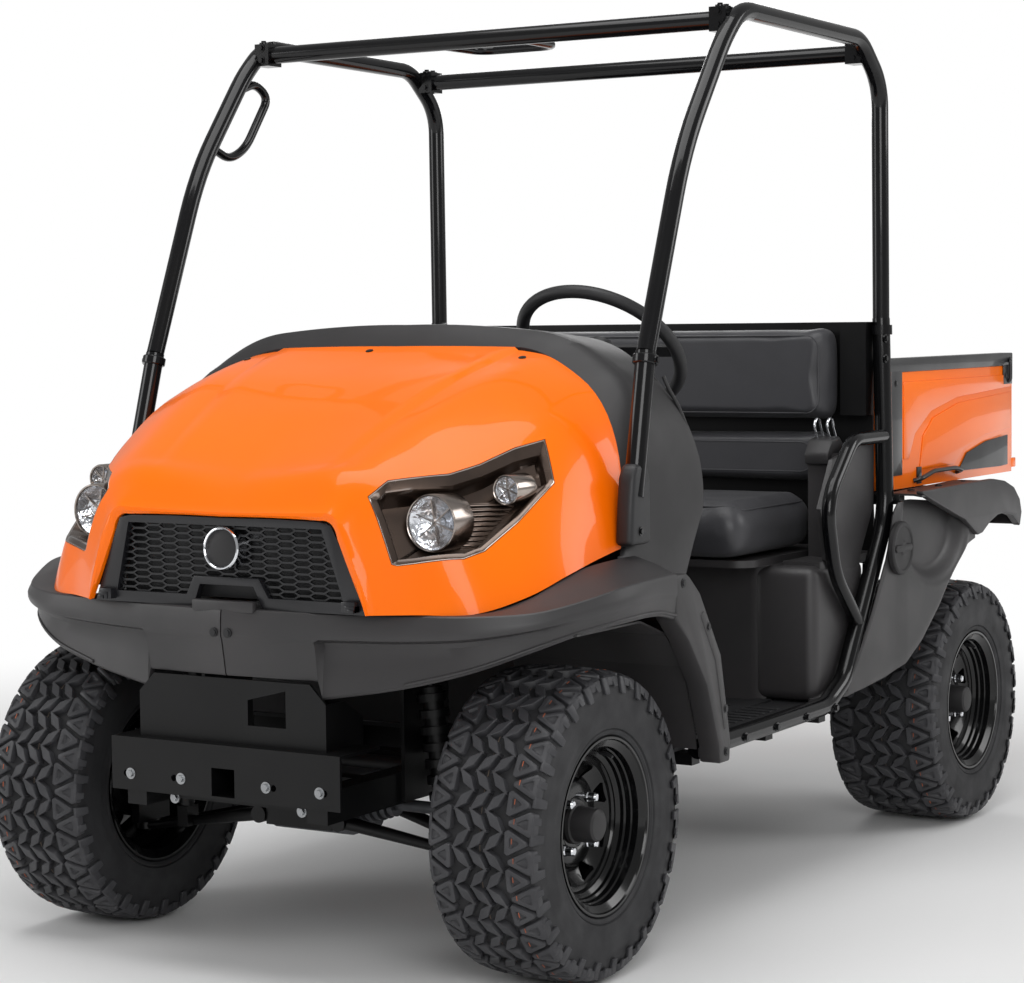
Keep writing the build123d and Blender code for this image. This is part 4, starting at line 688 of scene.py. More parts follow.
def around(corners, steps):
    """Points along a closed outline, the same number on each edge."""
    points = []
    for index, corner in enumerate(corners):
        after = corners[(index + 1) % len(corners)]
        points += [tuple(Vector(corner).lerp(Vector(after), step / steps)) for step in range(steps)]
    return points


def skin_height(tree, u, v):
    """Height of the hood's face over the lamp's plane."""
    hit = tree.ray_cast(Vector(lamp_point(u, v, 200)), -LAMP_NORMAL)
    return (hit[0] - LAMP_CENTRE).dot(LAMP_NORMAL) if hit[0] else 0.0


def lamp_bezel(tree):
    """Bronze surround: bright edge on the hood, brow, wall and floor."""
    insets = [inset for _, _, inset in LAMP_EDGES]
    # Columns: fixed inset, share of the brow inset, depth below the hood's face (None: the floor).
    steps = [(0.5, 0.0, 5.0), (0.7, 0.0, 0.4), (1.6, 0.0, -0.6), (3.4, 0.0, 0.2), (3.8, 0.0, 1.4),
             (3.6, 0.55, 1.8), (3.0, 1.0, 3.2), (5.4, 1.0, 7.0), (9.0, 1.0, 22.0), (14.0, 1.0, None)]
    heights = [skin_height(tree, u, v) for u, v in around(LAMP_OUTLINE, LAMP_EDGE_STEPS)]
    rows = []
    for fixed, share, depth in steps:
        loop = around(inset_outline(LAMP_OUTLINE, [fixed + share * inset for inset in insets]),
                      LAMP_EDGE_STEPS)
        rows.append([lamp_point(u, v, LAMP_FLOOR if depth is None else height - depth)
                     for (u, v), height in zip(loop, heights)])
    count = len(rows[0])
    edge = tidy_mesh(grid_piece("bezel_edge", rows[:5], BRONZE_EDGE, closed_columns=True), 50, False)
    points = [point for row in rows[4:] for point in row]
    faces = grid_faces(len(rows) - 4, count, closed_columns=True)
    faces.append(tuple(range(len(points) - count, len(points)))[::-1])
    body = tidy_mesh(mesh_piece("bezel_body", points, faces, BRONZE), 32, False)
    return [edge, body]


def lamp_ribs():
    """Stepped ribs on the lamp's floor, outboard of the main lamp and below the small one."""
    ribs = []
    for index in range(9):
        v = 8 - index * 9.5
        u_low, u_high = 4 - index * 2.5, 92 - index * 9.4
        if u_high - u_low < 14:
            break
        outline = [(u_low, v - 3.1), (u_high, v - 3.1), (u_high + 4, v + 3.1), (u_low, v + 3.1)]
        ribs.append(slab(f"lamp_rib_{index}", outline, lamp_point, LAMP_FLOOR,
                         LAMP_FLOOR + 15 - index * 0.6, BRONZE, 1.2))
    return ribs


def lamp_unit(centre, radius, tag):
    """Round lamp that looks straight ahead: bright ring, faceted bowl, bulb cap and clear dome."""
    ahead = (0, -1, 0)
    ring = turned(tag + "_ring", [(-64, radius), (-3, radius), (0.5, radius - 1.2), (1.2, radius - 2.4),
                                  (0.2, radius - 3.8), (-4, radius - 4.6), (-6, radius - 4.8)],
                  centre, ahead, BRONZE_EDGE, 72)
    bowl = [(-5 - radius * 0.62 * (1 - share ** 2), max((radius - 4.6) * share, 0.4))
            for share in (1, 0.86, 0.72, 0.58, 0.44, 0.3, 0.16, 0.0)]
    reflector = turned(tag + "_bowl", bowl, centre, ahead, REFLECTOR, 26, 4.0)
    bulb = turned(tag + "_bulb", [(-radius * 0.66, radius * 0.17), (-radius * 0.36, radius * 0.17),
                                  (-radius * 0.30, radius * 0.12), (-radius * 0.28, 0.0)], centre, ahead,
                                  CHROME, 28)
    dome = [(-4.0 + 5.0 * (1 - share ** 2), (radius - 4.4) * share)
            for share in (1, 0.85, 0.7, 0.5, 0.3, 0.0)]
    lens = turned(tag + "_lens", dome, centre, ahead, LENS, 64)
    fins = []
    for index in range(3):
        turn = Matrix.Rotation(index * pi / 3 + 0.35, 3, "Y")
        corners = [turn @ Vector((u, w, v)) for u in (-radius * 0.88, radius * 0.88) for v in (-0.9, 0.9)
                   for w in (radius * 0.24, radius * 0.42)]
        fins.append(tidy_mesh(mesh_piece(f"{tag}_fin_{index}", [tuple(Vector(centre) + c) for c in corners],
                                         BOX_FACES, BRONZE_EDGE)))
    return [ring, reflector, bulb] + fins, lens


def make_headlamps(tree):
    """Both headlamps: bezels with what sits in them, and their clear lenses."""
    pieces, lenses = lamp_bezel(tree) + lamp_ribs(), []
    for (centre, radius), tag in ((MAIN_LAMP, "main_lamp"), (SMALL_LAMP, "small_lamp")):
        fixed, lens = lamp_unit(centre, radius, tag)
        pieces += fixed
        lenses.append(lens)
    place(both_sides(join("lamp_bezel", pieces), "headlamp_bezels_dressed"), "vehicle", "lamp_bezel",
          "headlamp_bezels")
    place(both_sides(join("lamp_lenses", lenses), "headlamp_lenses_dressed"), "vehicle", "lamp_lens",
          "headlamp_lenses")


# ------------------------------------------------------------------ repeats grown by geometry nodes
def tree_with(name, inputs):
    """A geometry tree with named inputs, its group input, its output, and a maker of linked nodes."""
    tree = bpy.data.node_groups.new(name, "GeometryNodeTree")
    tree.interface.new_socket("Geometry", in_out="INPUT", socket_type="NodeSocketGeometry")
    for label, kind, default in inputs:
        tree.interface.new_socket(label, in_out="INPUT", socket_type=kind).default_value = default
    tree.interface.new_socket("Finish", in_out="INPUT", socket_type="NodeSocketMaterial")
    tree.interface.new_socket("Geometry", in_out="OUTPUT", socket_type="NodeSocketGeometry")
    given, result = tree.nodes.new("NodeGroupInput"), tree.nodes.new("NodeGroupOutput")

    def node(kind, links=(), **settings):
        """A node with its settings, fed by sockets or fixed values."""
        made = tree.nodes.new(kind)
        for key, value in settings.items():
            setattr(made, key, value)
        for socket, source in dict(links).items():
            target = made.inputs[socket]
            if isinstance(source, bpy.types.NodeSocket):
                tree.links.new(source, target)
            else:
                target.default_value = source
        return made

    return tree, given, result, node


def finish_tree(tree, given, result, node, grown):
    """Every tree ends the same way: real geometry with its finish."""
    real = node("GeometryNodeRealizeInstances", {"Geometry": grown})
    dressed = node("GeometryNodeSetMaterial", {"Geometry": real.outputs[0],
                                               "Material": given.outputs["Finish"]})
    tree.links.new(dressed.outputs[0], result.inputs["Geometry"])
    return tree


def make_ring_tree():
    """Repeats a piece evenly about the X axis through the origin."""
    tree, given, result, node = tree_with("repeat_about_axle", [("Count", "NodeSocketInt", 5),
                                                                ("Phase", "NodeSocketFloat", 0.0)])
    points = node("GeometryNodePoints", {"Count": given.outputs["Count"]})
    index = node("GeometryNodeInputIndex")
    turn = node("ShaderNodeMath", {0: index.outputs[0], 1: given.outputs["Phase"]}, operation="ADD")
    share = node("ShaderNodeMath", {0: turn.outputs[0], 1: given.outputs["Count"]}, operation="DIVIDE")
    angle = node("ShaderNodeMath", {0: share.outputs[0], 1: tau}, operation="MULTIPLY")
    spin = node("ShaderNodeCombineXYZ", {0: angle.outputs[0]})
    ring = node("GeometryNodeInstanceOnPoints", {"Points": points.outputs[0],
                                                 "Instance": given.outputs["Geometry"],
                                                 "Rotation": spin.outputs[0]})
    return finish_tree(tree, given, result, node, ring.outputs[0])


def make_cell_tree():
    """A flat six-sided cell wall on each point, long across the vehicle."""
    tree, given, result, node = tree_with("grille_cells", [
        ("Cell Width", "NodeSocketFloat", 0.044), ("Cell Height", "NodeSocketFloat", 0.012),
        ("Wall", "NodeSocketFloat", 0.004), ("Depth", "NodeSocketFloat", 0.006)])
    ring = node("GeometryNodeCurvePrimitiveCircle", {"Resolution": 6, "Radius": 0.5}, mode="RADIUS")
    size = node("ShaderNodeCombineXYZ", {0: given.outputs["Cell Width"], 1: given.outputs["Cell Height"],
                                         2: 1.0})
    cell = node("GeometryNodeTransform", {"Geometry": ring.outputs[0], "Scale": size.outputs[0],
                                          "Rotation": (pi / 2, 0, 0)})
    bar = node("GeometryNodeCurvePrimitiveQuadrilateral",
               {"Width": given.outputs["Wall"], "Height": given.outputs["Depth"]}, mode="RECTANGLE")
    wall = node("GeometryNodeCurveToMesh", {"Curve": cell.outputs[0], "Profile Curve": bar.outputs[0]})
    cells = node("GeometryNodeInstanceOnPoints", {"Points": given.outputs["Geometry"],
                                                  "Instance": wall.outputs[0]})
    return finish_tree(tree, given, result, node, cells.outputs[0])


def make_bolt_tree():
    """A six-sided head on a washer at each point, along the point's facing."""
    tree, given, result, node = tree_with("bolt_heads", [
        ("Head Radius", "NodeSocketFloat", 0.006), ("Head Height", "NodeSocketFloat", 0.005),
        ("Washer Radius", "NodeSocketFloat", 0.009), ("Sides", "NodeSocketInt", 6)])
    head = node("GeometryNodeMeshCylinder", {"Vertices": given.outputs["Sides"],
                                             "Radius": given.outputs["Head Radius"],
                                             "Depth": given.outputs["Head Height"]})
    lift = node("ShaderNodeMath", {0: given.outputs["Head Height"], 1: 0.5}, operation="MULTIPLY")
    raised = node("ShaderNodeCombineXYZ", {2: lift.outputs[0]})
    seated = node("GeometryNodeTransform", {"Geometry": head.outputs["Mesh"],
                                            "Translation": raised.outputs[0]})
    washer = node("GeometryNodeMeshCylinder", {"Vertices": 20, "Radius": given.outputs["Washer Radius"],
                                               "Depth": 0.003})
    whole = node("GeometryNodeJoinGeometry")
    tree.links.new(seated.outputs[0], whole.inputs[0])
    tree.links.new(washer.outputs["Mesh"], whole.inputs[0])
    facing = node("GeometryNodeInputNamedAttribute", {"Name": "facing"}, data_type="FLOAT_VECTOR")
    turn = node("FunctionNodeAlignRotationToVector", {"Vector": facing.outputs["Attribute"]}, axis="Z")
    bolts = node("GeometryNodeInstanceOnPoints", {"Points": given.outputs["Geometry"],
                                                  "Instance": whole.outputs[0],
                                                  "Rotation": turn.outputs[0]})
    return finish_tree(tree, given, result, node, bolts.outputs[0])


def grow(piece, tree, material, angle=34.0, **values):
    """Runs a geometry tree on a piece and leaves a plain mesh."""
    modifier = piece.modifiers.new("grow", "NODES")
    modifier.node_group = tree
    identifiers = {item.name: item.identifier for item in tree.interface.items_tree
                   if item.in_out == "INPUT"}
    for label, value in values.items():
        modifier[identifiers[label.replace("_", " ")]] = value
    modifier[identifiers["Finish"]] = material
    piece = settle(piece)
    if not piece.data.materials:
        piece.data.materials.append(material)
    piece.data.materials[0] = material
    return tidy_mesh(piece, angle, False)


def points_piece(name, points, material, facings=None):
    """Loose points for a tree to grow on, each with the way it faces."""
    piece = mesh_piece(name, points, [], material)
    if facings:
        attribute = piece.data.attributes.new("facing", "FLOAT_VECTOR", "POINT")
        attribute.data.foreach_set("vector", [value for facing in facings for value in facing])
    return piece


RING_TREE = make_ring_tree()
CELL_TREE = make_cell_tree()
BOLT_TREE = make_bolt_tree()


def bolts(name, spots, material=None, radius=6.0, height=5.0, washer=9.0, sides=6):
    """Bolt heads at spots of (point, facing)."""
    material = material or TUBE_BLACK
    piece = points_piece(name, [spot for spot, _ in spots], material, [facing for _, facing in spots])
    return grow(piece, BOLT_TREE, material, Head_Radius=radius * MM, Head_Height=height * MM,
                Washer_Radius=washer * MM, Sides=sides)


# ------------------------------------------------------------------ grille
GRILLE_OPENING = [(-266, 728), (-96, 728), (-76, 764), (76, 764), (96, 728), (266, 728), (226, 862),
                  (-226, 862)]
BRIDGE_NOTCH = [(-84, 700), (84, 700), (63, 749), (-63, 749)]
CELL_WIDTH, CELL_HEIGHT, CELL_WALL = 46.0, 13.5, 4.2
CELL_COLUMNS, CELL_ROWS = 8, 14


def grille_point(x, z, w):
    """A point on the grille's raked face, w in front of it."""
    return (x, fy(-333) + (879 - z) * 0.08 - w, z)


def inside(point, outline):
    """Whether a flat point lies in an outline."""
    x, y = point
    within = False
    for (ax, ay), (bx, by) in zip(outline, outline[1:] + outline[:1]):
        if (ay > y) != (by > y) and x < (bx - ax) * (y - ay) / (by - ay) + ax:
            within = not within
    return within


def make_grille():
    """Frame with its bridge, six-sided mesh behind it, backing sheet and plain roundel."""
    half = [(x - 2.5 if x else 0, z - 2.5) for x, z in GRILLE_RIM]
    outline = [(-x, z) for x, z in half[:0:-1]] + half
    rim = slab("grille_rim", outline, grille_point, -16, 0, GRILLE_BLACK, 0)
    for tool_outline in (GRILLE_OPENING, BRIDGE_NOTCH):
        cut(rim, slab("grille_tool", tool_outline, grille_point, -40, 30, GRILLE_BLACK, 0))
    rim = tidy_mesh(bevelled(tidy_mesh(rim), 2.2, 3, 24))
    ledges = []
    for side in (1, -1):
        for index, (width, rise) in enumerate(((26, 20), (18, 13), (10, 7))):
            low_x, high_x = sorted((side * (296 - width), side * 300))
            ledges.append(rounded_block(f"grille_clip_{side}_{index}", (low_x, high_x),
                                        (fy(-331) - 4 - index * 2.5, fy(-318)), (712, 712 + rise),
                                        GRILLE_BLACK, 1.2))
    place(join("grille_frame_dressed", [rim] + ledges), "vehicle", "grille_black", "grille_frame")

    spots = []
    for column in range(-CELL_COLUMNS, CELL_COLUMNS + 1):
        x = column * CELL_WIDTH * 0.75
        for row in range(CELL_ROWS):
            z = 722 + (row + (column % 2) / 2) * CELL_HEIGHT
            corners = [(x * 0.93, z + 8), (x * 0.93, z - 4), (x, z)]
            if any(inside(corner, GRILLE_OPENING) for corner in corners):
                spots.append(grille_point(x, z, -12))
    cells = grow(points_piece("grille_cells", spots, GRILLE_BLACK), CELL_TREE, GRILLE_BLACK,
                 Cell_Width=CELL_WIDTH * MM, Cell_Height=CELL_HEIGHT * MM * 1.15, Wall=CELL_WALL * MM,
                 Depth=5 * MM)
    sheet = [(-270, 722), (270, 722), (236, 868), (-236, 868)]
    backing = slab("grille_backing", sheet, grille_point, -34, -31, SOFT_BLACK, 0)
    place(join("grille_mesh_dressed", [cells, backing]), "vehicle", "grille_black", "grille_mesh")

    centre = (0, fy(-329), 819)
    badge = [turned("roundel_ring", [(-18, 41), (8, 41), (10.5, 39.4), (11, 37.4), (9.4, 35.8), (6.0, 35.0),
                                     (4.4, 34.4)],
                    centre, (0, -1, 0.08), CHROME, 80),
             turned("roundel_face", [(4.4, 35), (6.0, 30), (8.2, 16), (8.8, 0)], centre, (0, -1, 0.08),
                    COWL_BLACK, 64)]
    place(join("roundel_dressed", badge), "vehicle", "grille_black", "grille_roundel")


# ------------------------------------------------------------------ tyres and rims
RIM_DISC_SETBACK = 62.0
WHEELS = {
    "front": {"y": FRONT_AXLE_Y, "track": FRONT_TRACK_HALF, "width": 229.0, "rim": 101.0},
    "rear": {"y": REAR_AXLE_Y, "track": REAR_TRACK_HALF, "width": 274.0, "rim": 123.0},
}
TREAD_PITCHES = 26
TREAD_BASE = 279.0
PITCH = tau * TYRE_RADIUS / TREAD_PITCHES
LUG_TRIM = 0.14


def crown(across, half):
    """Radius of the lug faces at a distance from the tyre's middle."""
    share = abs(across) / half
    return TYRE_RADIUS - 1.0 - 7.0 * share ** 2 - 24.0 * max(0.0, share - 0.78) ** 1.5 * 4.0


def tread_block(name, outline, half, base=TREAD_BASE, drop=0.0, hollow=None):
    """Lug from an outline of (across, along the tread), drafted towards its face, bent to the tyre."""
    middle = Vector((sum(p[0] for p in outline), sum(p[1] for p in outline))) / len(outline)
    levels = []
    for lift, spread in ((-3.0, 1.06), (None, 1.0)):
        row = []
        for corner in outline:
            across, along = middle + (Vector(corner) - middle) * spread
            top = crown(across, half) - drop
            radius = min(base, top - 4) + lift if lift is not None else top
            angle = along / TYRE_RADIUS
            row.append((across, radius * sin(angle), radius * cos(angle)))
        levels.append(row)
    count = len(outline)
    points = levels[0] + levels[1]
    if hollow:
        share, depth = hollow
        for shrink, dip in ((share, 0.0), (share * 0.86, depth)):
            for corner in outline:
                across, along = middle + (Vector(corner) - middle) * shrink
                radius = crown(across, half) - drop - dip
                angle = along / TYRE_RADIUS
                points.append((across, radius * sin(angle), radius * cos(angle)))
    faces = [(i, (i + 1) % count, (i + 1) % count + count, i + count) for i in range(count)]
    if hollow:
        for level in (1, 2):
            faces += [(i + level * count, (i + 1) % count + level * count,
                       (i + 1) % count + (level + 1) * count,
                       i + (level + 1) * count) for i in range(count)]
        faces.append(tuple(range(3 * count, 4 * count)))
    else:
        faces.append(tuple(range(count, 2 * count)))
    return mesh_piece(name, points, faces, TREAD_RUBBER)


def tread_unit(half):
    """One pitch of tread: two slanted rows of herringbone blocks and hollow triangles on both shoulders."""
    p = PITCH
    wide, lean, rake = 0.118 * half, 0.062 * half, 0.10 * p
    blocks = []
    for row, way in ((0, 1), (1, -1)):
        low, high = (-0.455 + 0.5 * row) * p, (-0.045 + 0.5 * row) * p
        for column in (-1, 0, 1):
            x = column * 0.295 * half
            outline = [(x - wide - way * lean, low - way * rake), (x + wide - way * lean, low + way * rake),
                       (x + wide + way * lean, high + way * rake),
                       (x - wide + way * lean, high - way * rake)]
            blocks.append(tread_block(f"lug_{row}_{column}", outline, half))
    for side in (1, -1):
        shift = 0.25 * side
        for number, triangle in enumerate(([(0.49, 0.0), (0.965, -0.385), (0.965, 0.385)],
                                           [(0.93, 0.5), (0.50, 0.885), (0.50, 0.115)])):
            outline = [(side * half * a, (along + shift) * p) for a, along in triangle]
            corners = []
            for index, corner in enumerate(outline):
                before, after = Vector(outline[index - 1]), Vector(outline[(index + 1) % 3])
                corners += [tuple(Vector(corner).lerp(before, LUG_TRIM)),
                            tuple(Vector(corner).lerp(after, LUG_TRIM))]
            blocks.append(tread_block(f"lug_shoulder_{side}_{number}", corners[::side], half,
                                      base=TREAD_BASE - 10, hollow=(0.46, 5.5)))
    for block in blocks:
        tidy_mesh(block)
    return tidy_mesh(bevelled(join("tread_unit", blocks), 1.1, 1, 35), 40)


def paint_dashes(half):
    """Two short paint dashes of one pitch round the outer shoulder."""
    dashes = []
    for number, along in enumerate((-0.2, 0.3)):
        x = 0.63 * half + number * 3
        radius = crown(x, half) + 0.25
        points = []
        for lift in (-1.0, 0.0):
            for across, step in ((-0.8, -0.07), (0.8, -0.07), (0.8, 0.07), (-0.8, 0.07)):
                angle = (along + step) * PITCH / TYRE_RADIUS
                points.append((x + across, (radius + lift) * sin(angle), (radius + lift) * cos(angle)))
        faces = [(0, 3, 2, 1), (4, 5, 6, 7), (0, 1, 5, 4), (1, 2, 6, 5), (2, 3, 7, 6), (3, 0, 4, 7)]
        dashes.append(tidy_mesh(mesh_piece(f"dash_{number}", points, faces, ORANGE_DASH)))
    return join("paint_dashes", dashes)


def side_bars(half):
    """Short bars of one pitch down both shoulders."""
    bars = []
    for side in (1, -1):
        for number, (offset, low) in enumerate(((0.0, 250.0), (0.5, 262.0))):
            along = (offset * PITCH - 0.15 * PITCH * side) / TYRE_RADIUS
            wide = 0.038 if number == 0 else 0.030
            points = []
            for radius, out, spread in ((282, 0.93, 1.0), (low, 0.994, 0.8)):
                for lift in (-5.0, 3.4):
                    for sign in (-1, 1):
                        angle = along + sign * wide * spread
                        points.append((side * (half * out + lift * 0.75), radius * sin(angle),
                                       radius * cos(angle)))
            bars.append(tidy_mesh(mesh_piece(f"side_bar_{side}_{number}", points, BOX_FACES, TREAD_RUBBER)))
    return tidy_mesh(bevelled(join("side_bars", bars), 1.2, 1, 35), 40)


FLANK_STEPS = 14
FLANK_RADII = (184, 272)


def carcass(width, rim_half):
    """Turned tyre body about the X axis, with its bead, flank ribs and tread floor."""
    half = width / 2
    side = [(rim_half - 20, 153), (rim_half - 8.5, 153), (rim_half - 8.5, 167.5), (rim_half + 2.5, 172),
            (rim_half + 5, 177), (rim_half + 5, 180), (rim_half + 3.4, 182)]
    flank = []
    for step in range(FLANK_STEPS + 1):
        share = step / FLANK_STEPS
        radius = FLANK_RADII[0] + share * (FLANK_RADII[1] - FLANK_RADII[0])
        bulge = sin(pi * min(1.0, share * 0.86 + 0.12)) ** 0.55
        x = rim_half + 3 + (half - 3.5 - rim_half - 3) * bulge
        x -= 1.0 * (step in (2, 10))
        flank.append((x, radius))
    # Tread floor in the darker carcass rubber: painted shade in the grooves between the lugs.
    tread = [(half - 12, TREAD_BASE - 5), (half - 24, TREAD_BASE), (0, TREAD_BASE + 1)]
    right = side + flank + tread
    profile = right + [(-x, radius) for x, radius in right[-2::-1]]
    inner = [(-rim_half + 20, 158), (-half + 14, 225), (-half + 34, 262), (half - 34, 262),
             (half - 14, 225), (rim_half - 20, 158)]
    return turned("carcass", profile + inner + profile[:1], (0, 0, 0), (1, 0, 0), RUBBER_AND_GROOVE_SHADE, 112, 24)


def make_tyre(corner, data):
    """The dressed tyre of one axle, about the X axis at the origin."""
    half = data["width"] / 2
    body = carcass(data["width"], data["rim"])
    lugs = grow(tread_unit(half), RING_TREE, TREAD_RUBBER, 40, Count=TREAD_PITCHES, Phase=0.0)
    bars = grow(side_bars(half), RING_TREE, TREAD_RUBBER, 40, Count=TREAD_PITCHES, Phase=0.0)
    dashes = grow(paint_dashes(half), RING_TREE, ORANGE_DASH, 40, Count=TREAD_PITCHES, Phase=0.0)
    fin = [(-0.7, TREAD_BASE + 0.6), (-0.7, TREAD_BASE + 1.8), (0.7, TREAD_BASE + 1.8),
           (0.7, TREAD_BASE + 0.6)]
    line = turned("parting_line", fin, (0, 0, 0), (1, 0, 0), TAN_LINE, 96)
    return join(f"{corner}_tyre_pattern", [body, lugs, bars, dashes, line])


def rim_profile(rim_half):
    """Turned rim section, outer side first: lip, drop steps, well and inner lip, closed on itself."""
    r = rim_half
    face = [(r + 2.8, 167.5), (r + 2.8, 163.0), (r - 1.0, 161.0), (r - 8, 151.5), (r - 10, 148.5),
            (r - 22, 147.0), (r - 24.5, 144.5), (r - 34, 143.0), (r - 37, 139.5), (r - 46, 138.0),
            (r - 50, 133.0), (r - 58, 128.0), (r - 64, 127.2), (-r * 0.35, 126.8), (-r * 0.35 - 14, 146.2),
            (8 - r, 147.0), (-r - 2.6, 163.5), (-r - 2.8, 167.5)]
    back = [(5.5 - r, 165.0), (8 - r, 150.6), (-r * 0.35 - 14, 149.6), (-r * 0.35, 131.0), (r - 50, 131.0),
            (r - 36, 148.0), (r - 9, 150.6), (r - 5.5, 165.0)]
    return face + back + face[:1]


NUT_CIRCLE_RADIUS = 62
NUT_COUNT, WINDOW_COUNT = 4, 8


def make_rim(corner, data):
    """Stepped gloss rim with windowed disc, four chrome nuts and a plain cap."""
    r = data["rim"]
    disc_x = r - RIM_DISC_SETBACK
    barrel = turned("rim_barrel", rim_profile(r), (0, 0, 0), (1, 0, 0), RIM_BLACK, 112, 22)
    face = [(disc_x + 5, 127.6), (disc_x + 5, 118), (disc_x + 1, 114), (disc_x - 8, 100),
            (disc_x - 11.5, 92), (disc_x - 11, 86), (disc_x - 3, 78), (disc_x - 1, 73), (disc_x - 1, 52),
            (disc_x - 3, 48), (disc_x - 3, 0)]
    back = [(disc_x - 9, 0), (disc_x - 9, 50), (disc_x - 7, 54), (disc_x - 7, 72), (disc_x - 9, 76),
            (disc_x - 17, 88), (disc_x - 14, 102), (disc_x - 1, 127.6)]
    disc = turned("rim_disc", face + back + face[:1], (0, 0, 0), (1, 0, 0), RIM_BLACK, 96, 22)
    window = [(-19, 114), (19, 114), (22, 110), (5, 86), (-5, 86), (-22, 110)]
    tool = slab("window_tool", window, across(), disc_x - 40, disc_x + 30, RIM_BLACK, 0)
    cut(disc, grow(tool, RING_TREE, RIM_BLACK, 30, Count=WINDOW_COUNT, Phase=0.5))
    disc = tidy_mesh(bevelled(tidy_mesh(disc, 22), 1.6, 2, 50), 22)
    nut_line = [(disc_x - 3, 11.5), (disc_x + 3, 11.0), (disc_x + 5, 9.2), (disc_x + 18, 8.8),
                (disc_x + 21, 6.5), (disc_x + 22, 0)]
    nut = turned("wheel_nut", nut_line, (0, 0, 0), (1, 0, 0), CHROME, 12, 30)
    for vertex in nut.data.vertices:
        vertex.co.z += NUT_CIRCLE_RADIUS * MM
    nuts = grow(nut, RING_TREE, CHROME, 30, Count=NUT_COUNT, Phase=0.5)
    cap_line = [(disc_x - 4, 39), (disc_x + 4, 38.5), (disc_x + 6, 34), (disc_x + 40, 32.4),
                (disc_x + 47, 30.4), (disc_x + 50, 26), (disc_x + 50.6, 22), (disc_x + 49.4, 0)]
    cap = turned("hub_cap", cap_line, (0, 0, 0), (1, 0, 0), COWL_BLACK, 72, 25)
    hub_line = [(disc_x - 8, 0), (disc_x - 8, 60), (disc_x - 16, 58), (disc_x - 20, 45),
                (disc_x - 40, 43.5), (disc_x - 40, 0)]
    hub = turned("hub_back", hub_line, (0, 0, 0), (1, 0, 0), CAST_METAL, 48, 30)
    stem_y, stem_z = 139.0 * sin(0.4), 139.0 * cos(0.4)
    stem = rod_mesh("valve_stem", [(r - 40, stem_y, stem_z), (r - 24, stem_y * 0.985, stem_z * 0.985),
                                   (r - 12, stem_y * 0.95, stem_z * 0.95)], [4.2, 4.0, 3.2], SOFT_BLACK, 12)
    return join(f"{corner}_rim_pattern", [barrel, disc, nuts, cap, hub, stem])


def wheel_copy(pattern, name, side, centre):
    """A wheel piece set at its axle, mirrored on the right side."""
    piece = mirror_piece(pattern, name) if side < 0 else pattern.copy()
    if side > 0:
        piece.data = pattern.data.copy()
        piece.name = name
        bpy.context.collection.objects.link(piece)
    move = Matrix.Translation([value * MM for value in centre])
    piece.data.transform(move)
    return piece


def make_wheels():
    """Tyres and rims of all four wheels, each on its own turning body."""
    for corner, data in WHEELS.items():
        for make, part, slot in ((make_tyre, "tyre", "tyre_rubber"), (make_rim, "rim", "rim_black")):
            pattern = make(corner, data)
            for side, tag in ((1, "left"), (-1, "right")):
                centre = (side * data["track"], data["y"], AXLE_Z)
                piece = wheel_copy(pattern, f"{corner}_{part}_{tag}_dressed", side, centre)
                place(piece, f"{corner}_wheel_{tag}", slot, f"{corner}_{part}_{tag}")
            bpy.data.objects.remove(pattern)


# ------------------------------------------------------------------ bumper and front fenders
# Columns: x, back from the front axle, outward heading in degrees, top z, belly bulge, belly z,
# inset of the lower edge, lower z, depth of the ledge, ledge z, depth of the scoop under the belly.
FENDER_STATIONS = [
    (0, -341, 0, 706, 2, 652, 12, 579, 45, 708, 0),
    (198, -320.5, 7, 706, 4, 652, 12, 577, 44, 708, 0),
    (207, -319, 8, 706, 4, 657, 12, 543, 44, 708, 24),
    (370, -290, 12, 707, 5, 660, 14, 570, 44, 708, 26),
    (500, -259, 22, 708, 6, 668, 16, 603, 42, 709, 20),
    (600, -194, 45, 714, 6, 684, 16, 640, 62, 732, 9),
    (652, -114, 62, 730, 6, 700, 14, 664, 86, 759, 1),
    (686, -24, 78, 748, 5, 714, 10, 677, 100, 776, 0),
    (694, 106, 90, 755, 1, 716, 4, 680, 90, 786, 0),
    (694, 170, 90, 756, 1, 712, 4, 668, 90, 786, 0),
]
FENDER_WALL = 7.0


def fender_row(station):
    """Closed upright ring of the bumper's section: ledge, lip, belly, scoop, lower edge and back."""
    x, back, heading, top, bulge, belly, inset, low, depth, ledge, scoop = station
    inward = Vector((-sin(radians(heading)), cos(radians(heading)), 0))
    corner = Vector((x, fy(back), 0))
    foot = inset
    outer = [(depth, ledge), (depth * 0.5, (ledge + top) / 2 + 1.5), (9, top + 1), (4, top),
             (1.2, top - 2.5), (-0.4, top - 8), (-bulge * 0.7, (top + belly) / 2), (-bulge, belly + 10),
             (-bulge + 0.4, belly + 3), (-bulge + 1.6, belly), (scoop - bulge + 3, belly - 3 - scoop * 0.2),
             (scoop * 0.94 + 2, belly - 8 - scoop * 0.4), ((scoop + foot) * 0.5 + 1, (belly + low) / 2),
             (foot, low + 5), (foot + 2.4, low + 1), (foot + 5, low)]
    inner = [(foot + FENDER_WALL + 3, low), (max(foot, scoop * 0.8) + FENDER_WALL + 3, low + 8),
             (scoop + FENDER_WALL + 2, belly - 8), (FENDER_WALL + 2, belly + 6),
             (FENDER_WALL + 2, top - 12), (depth, ledge - FENDER_WALL)]
    return [tuple(corner + inward * u + Vector((0, 0, z))) for u, z in outer + inner]


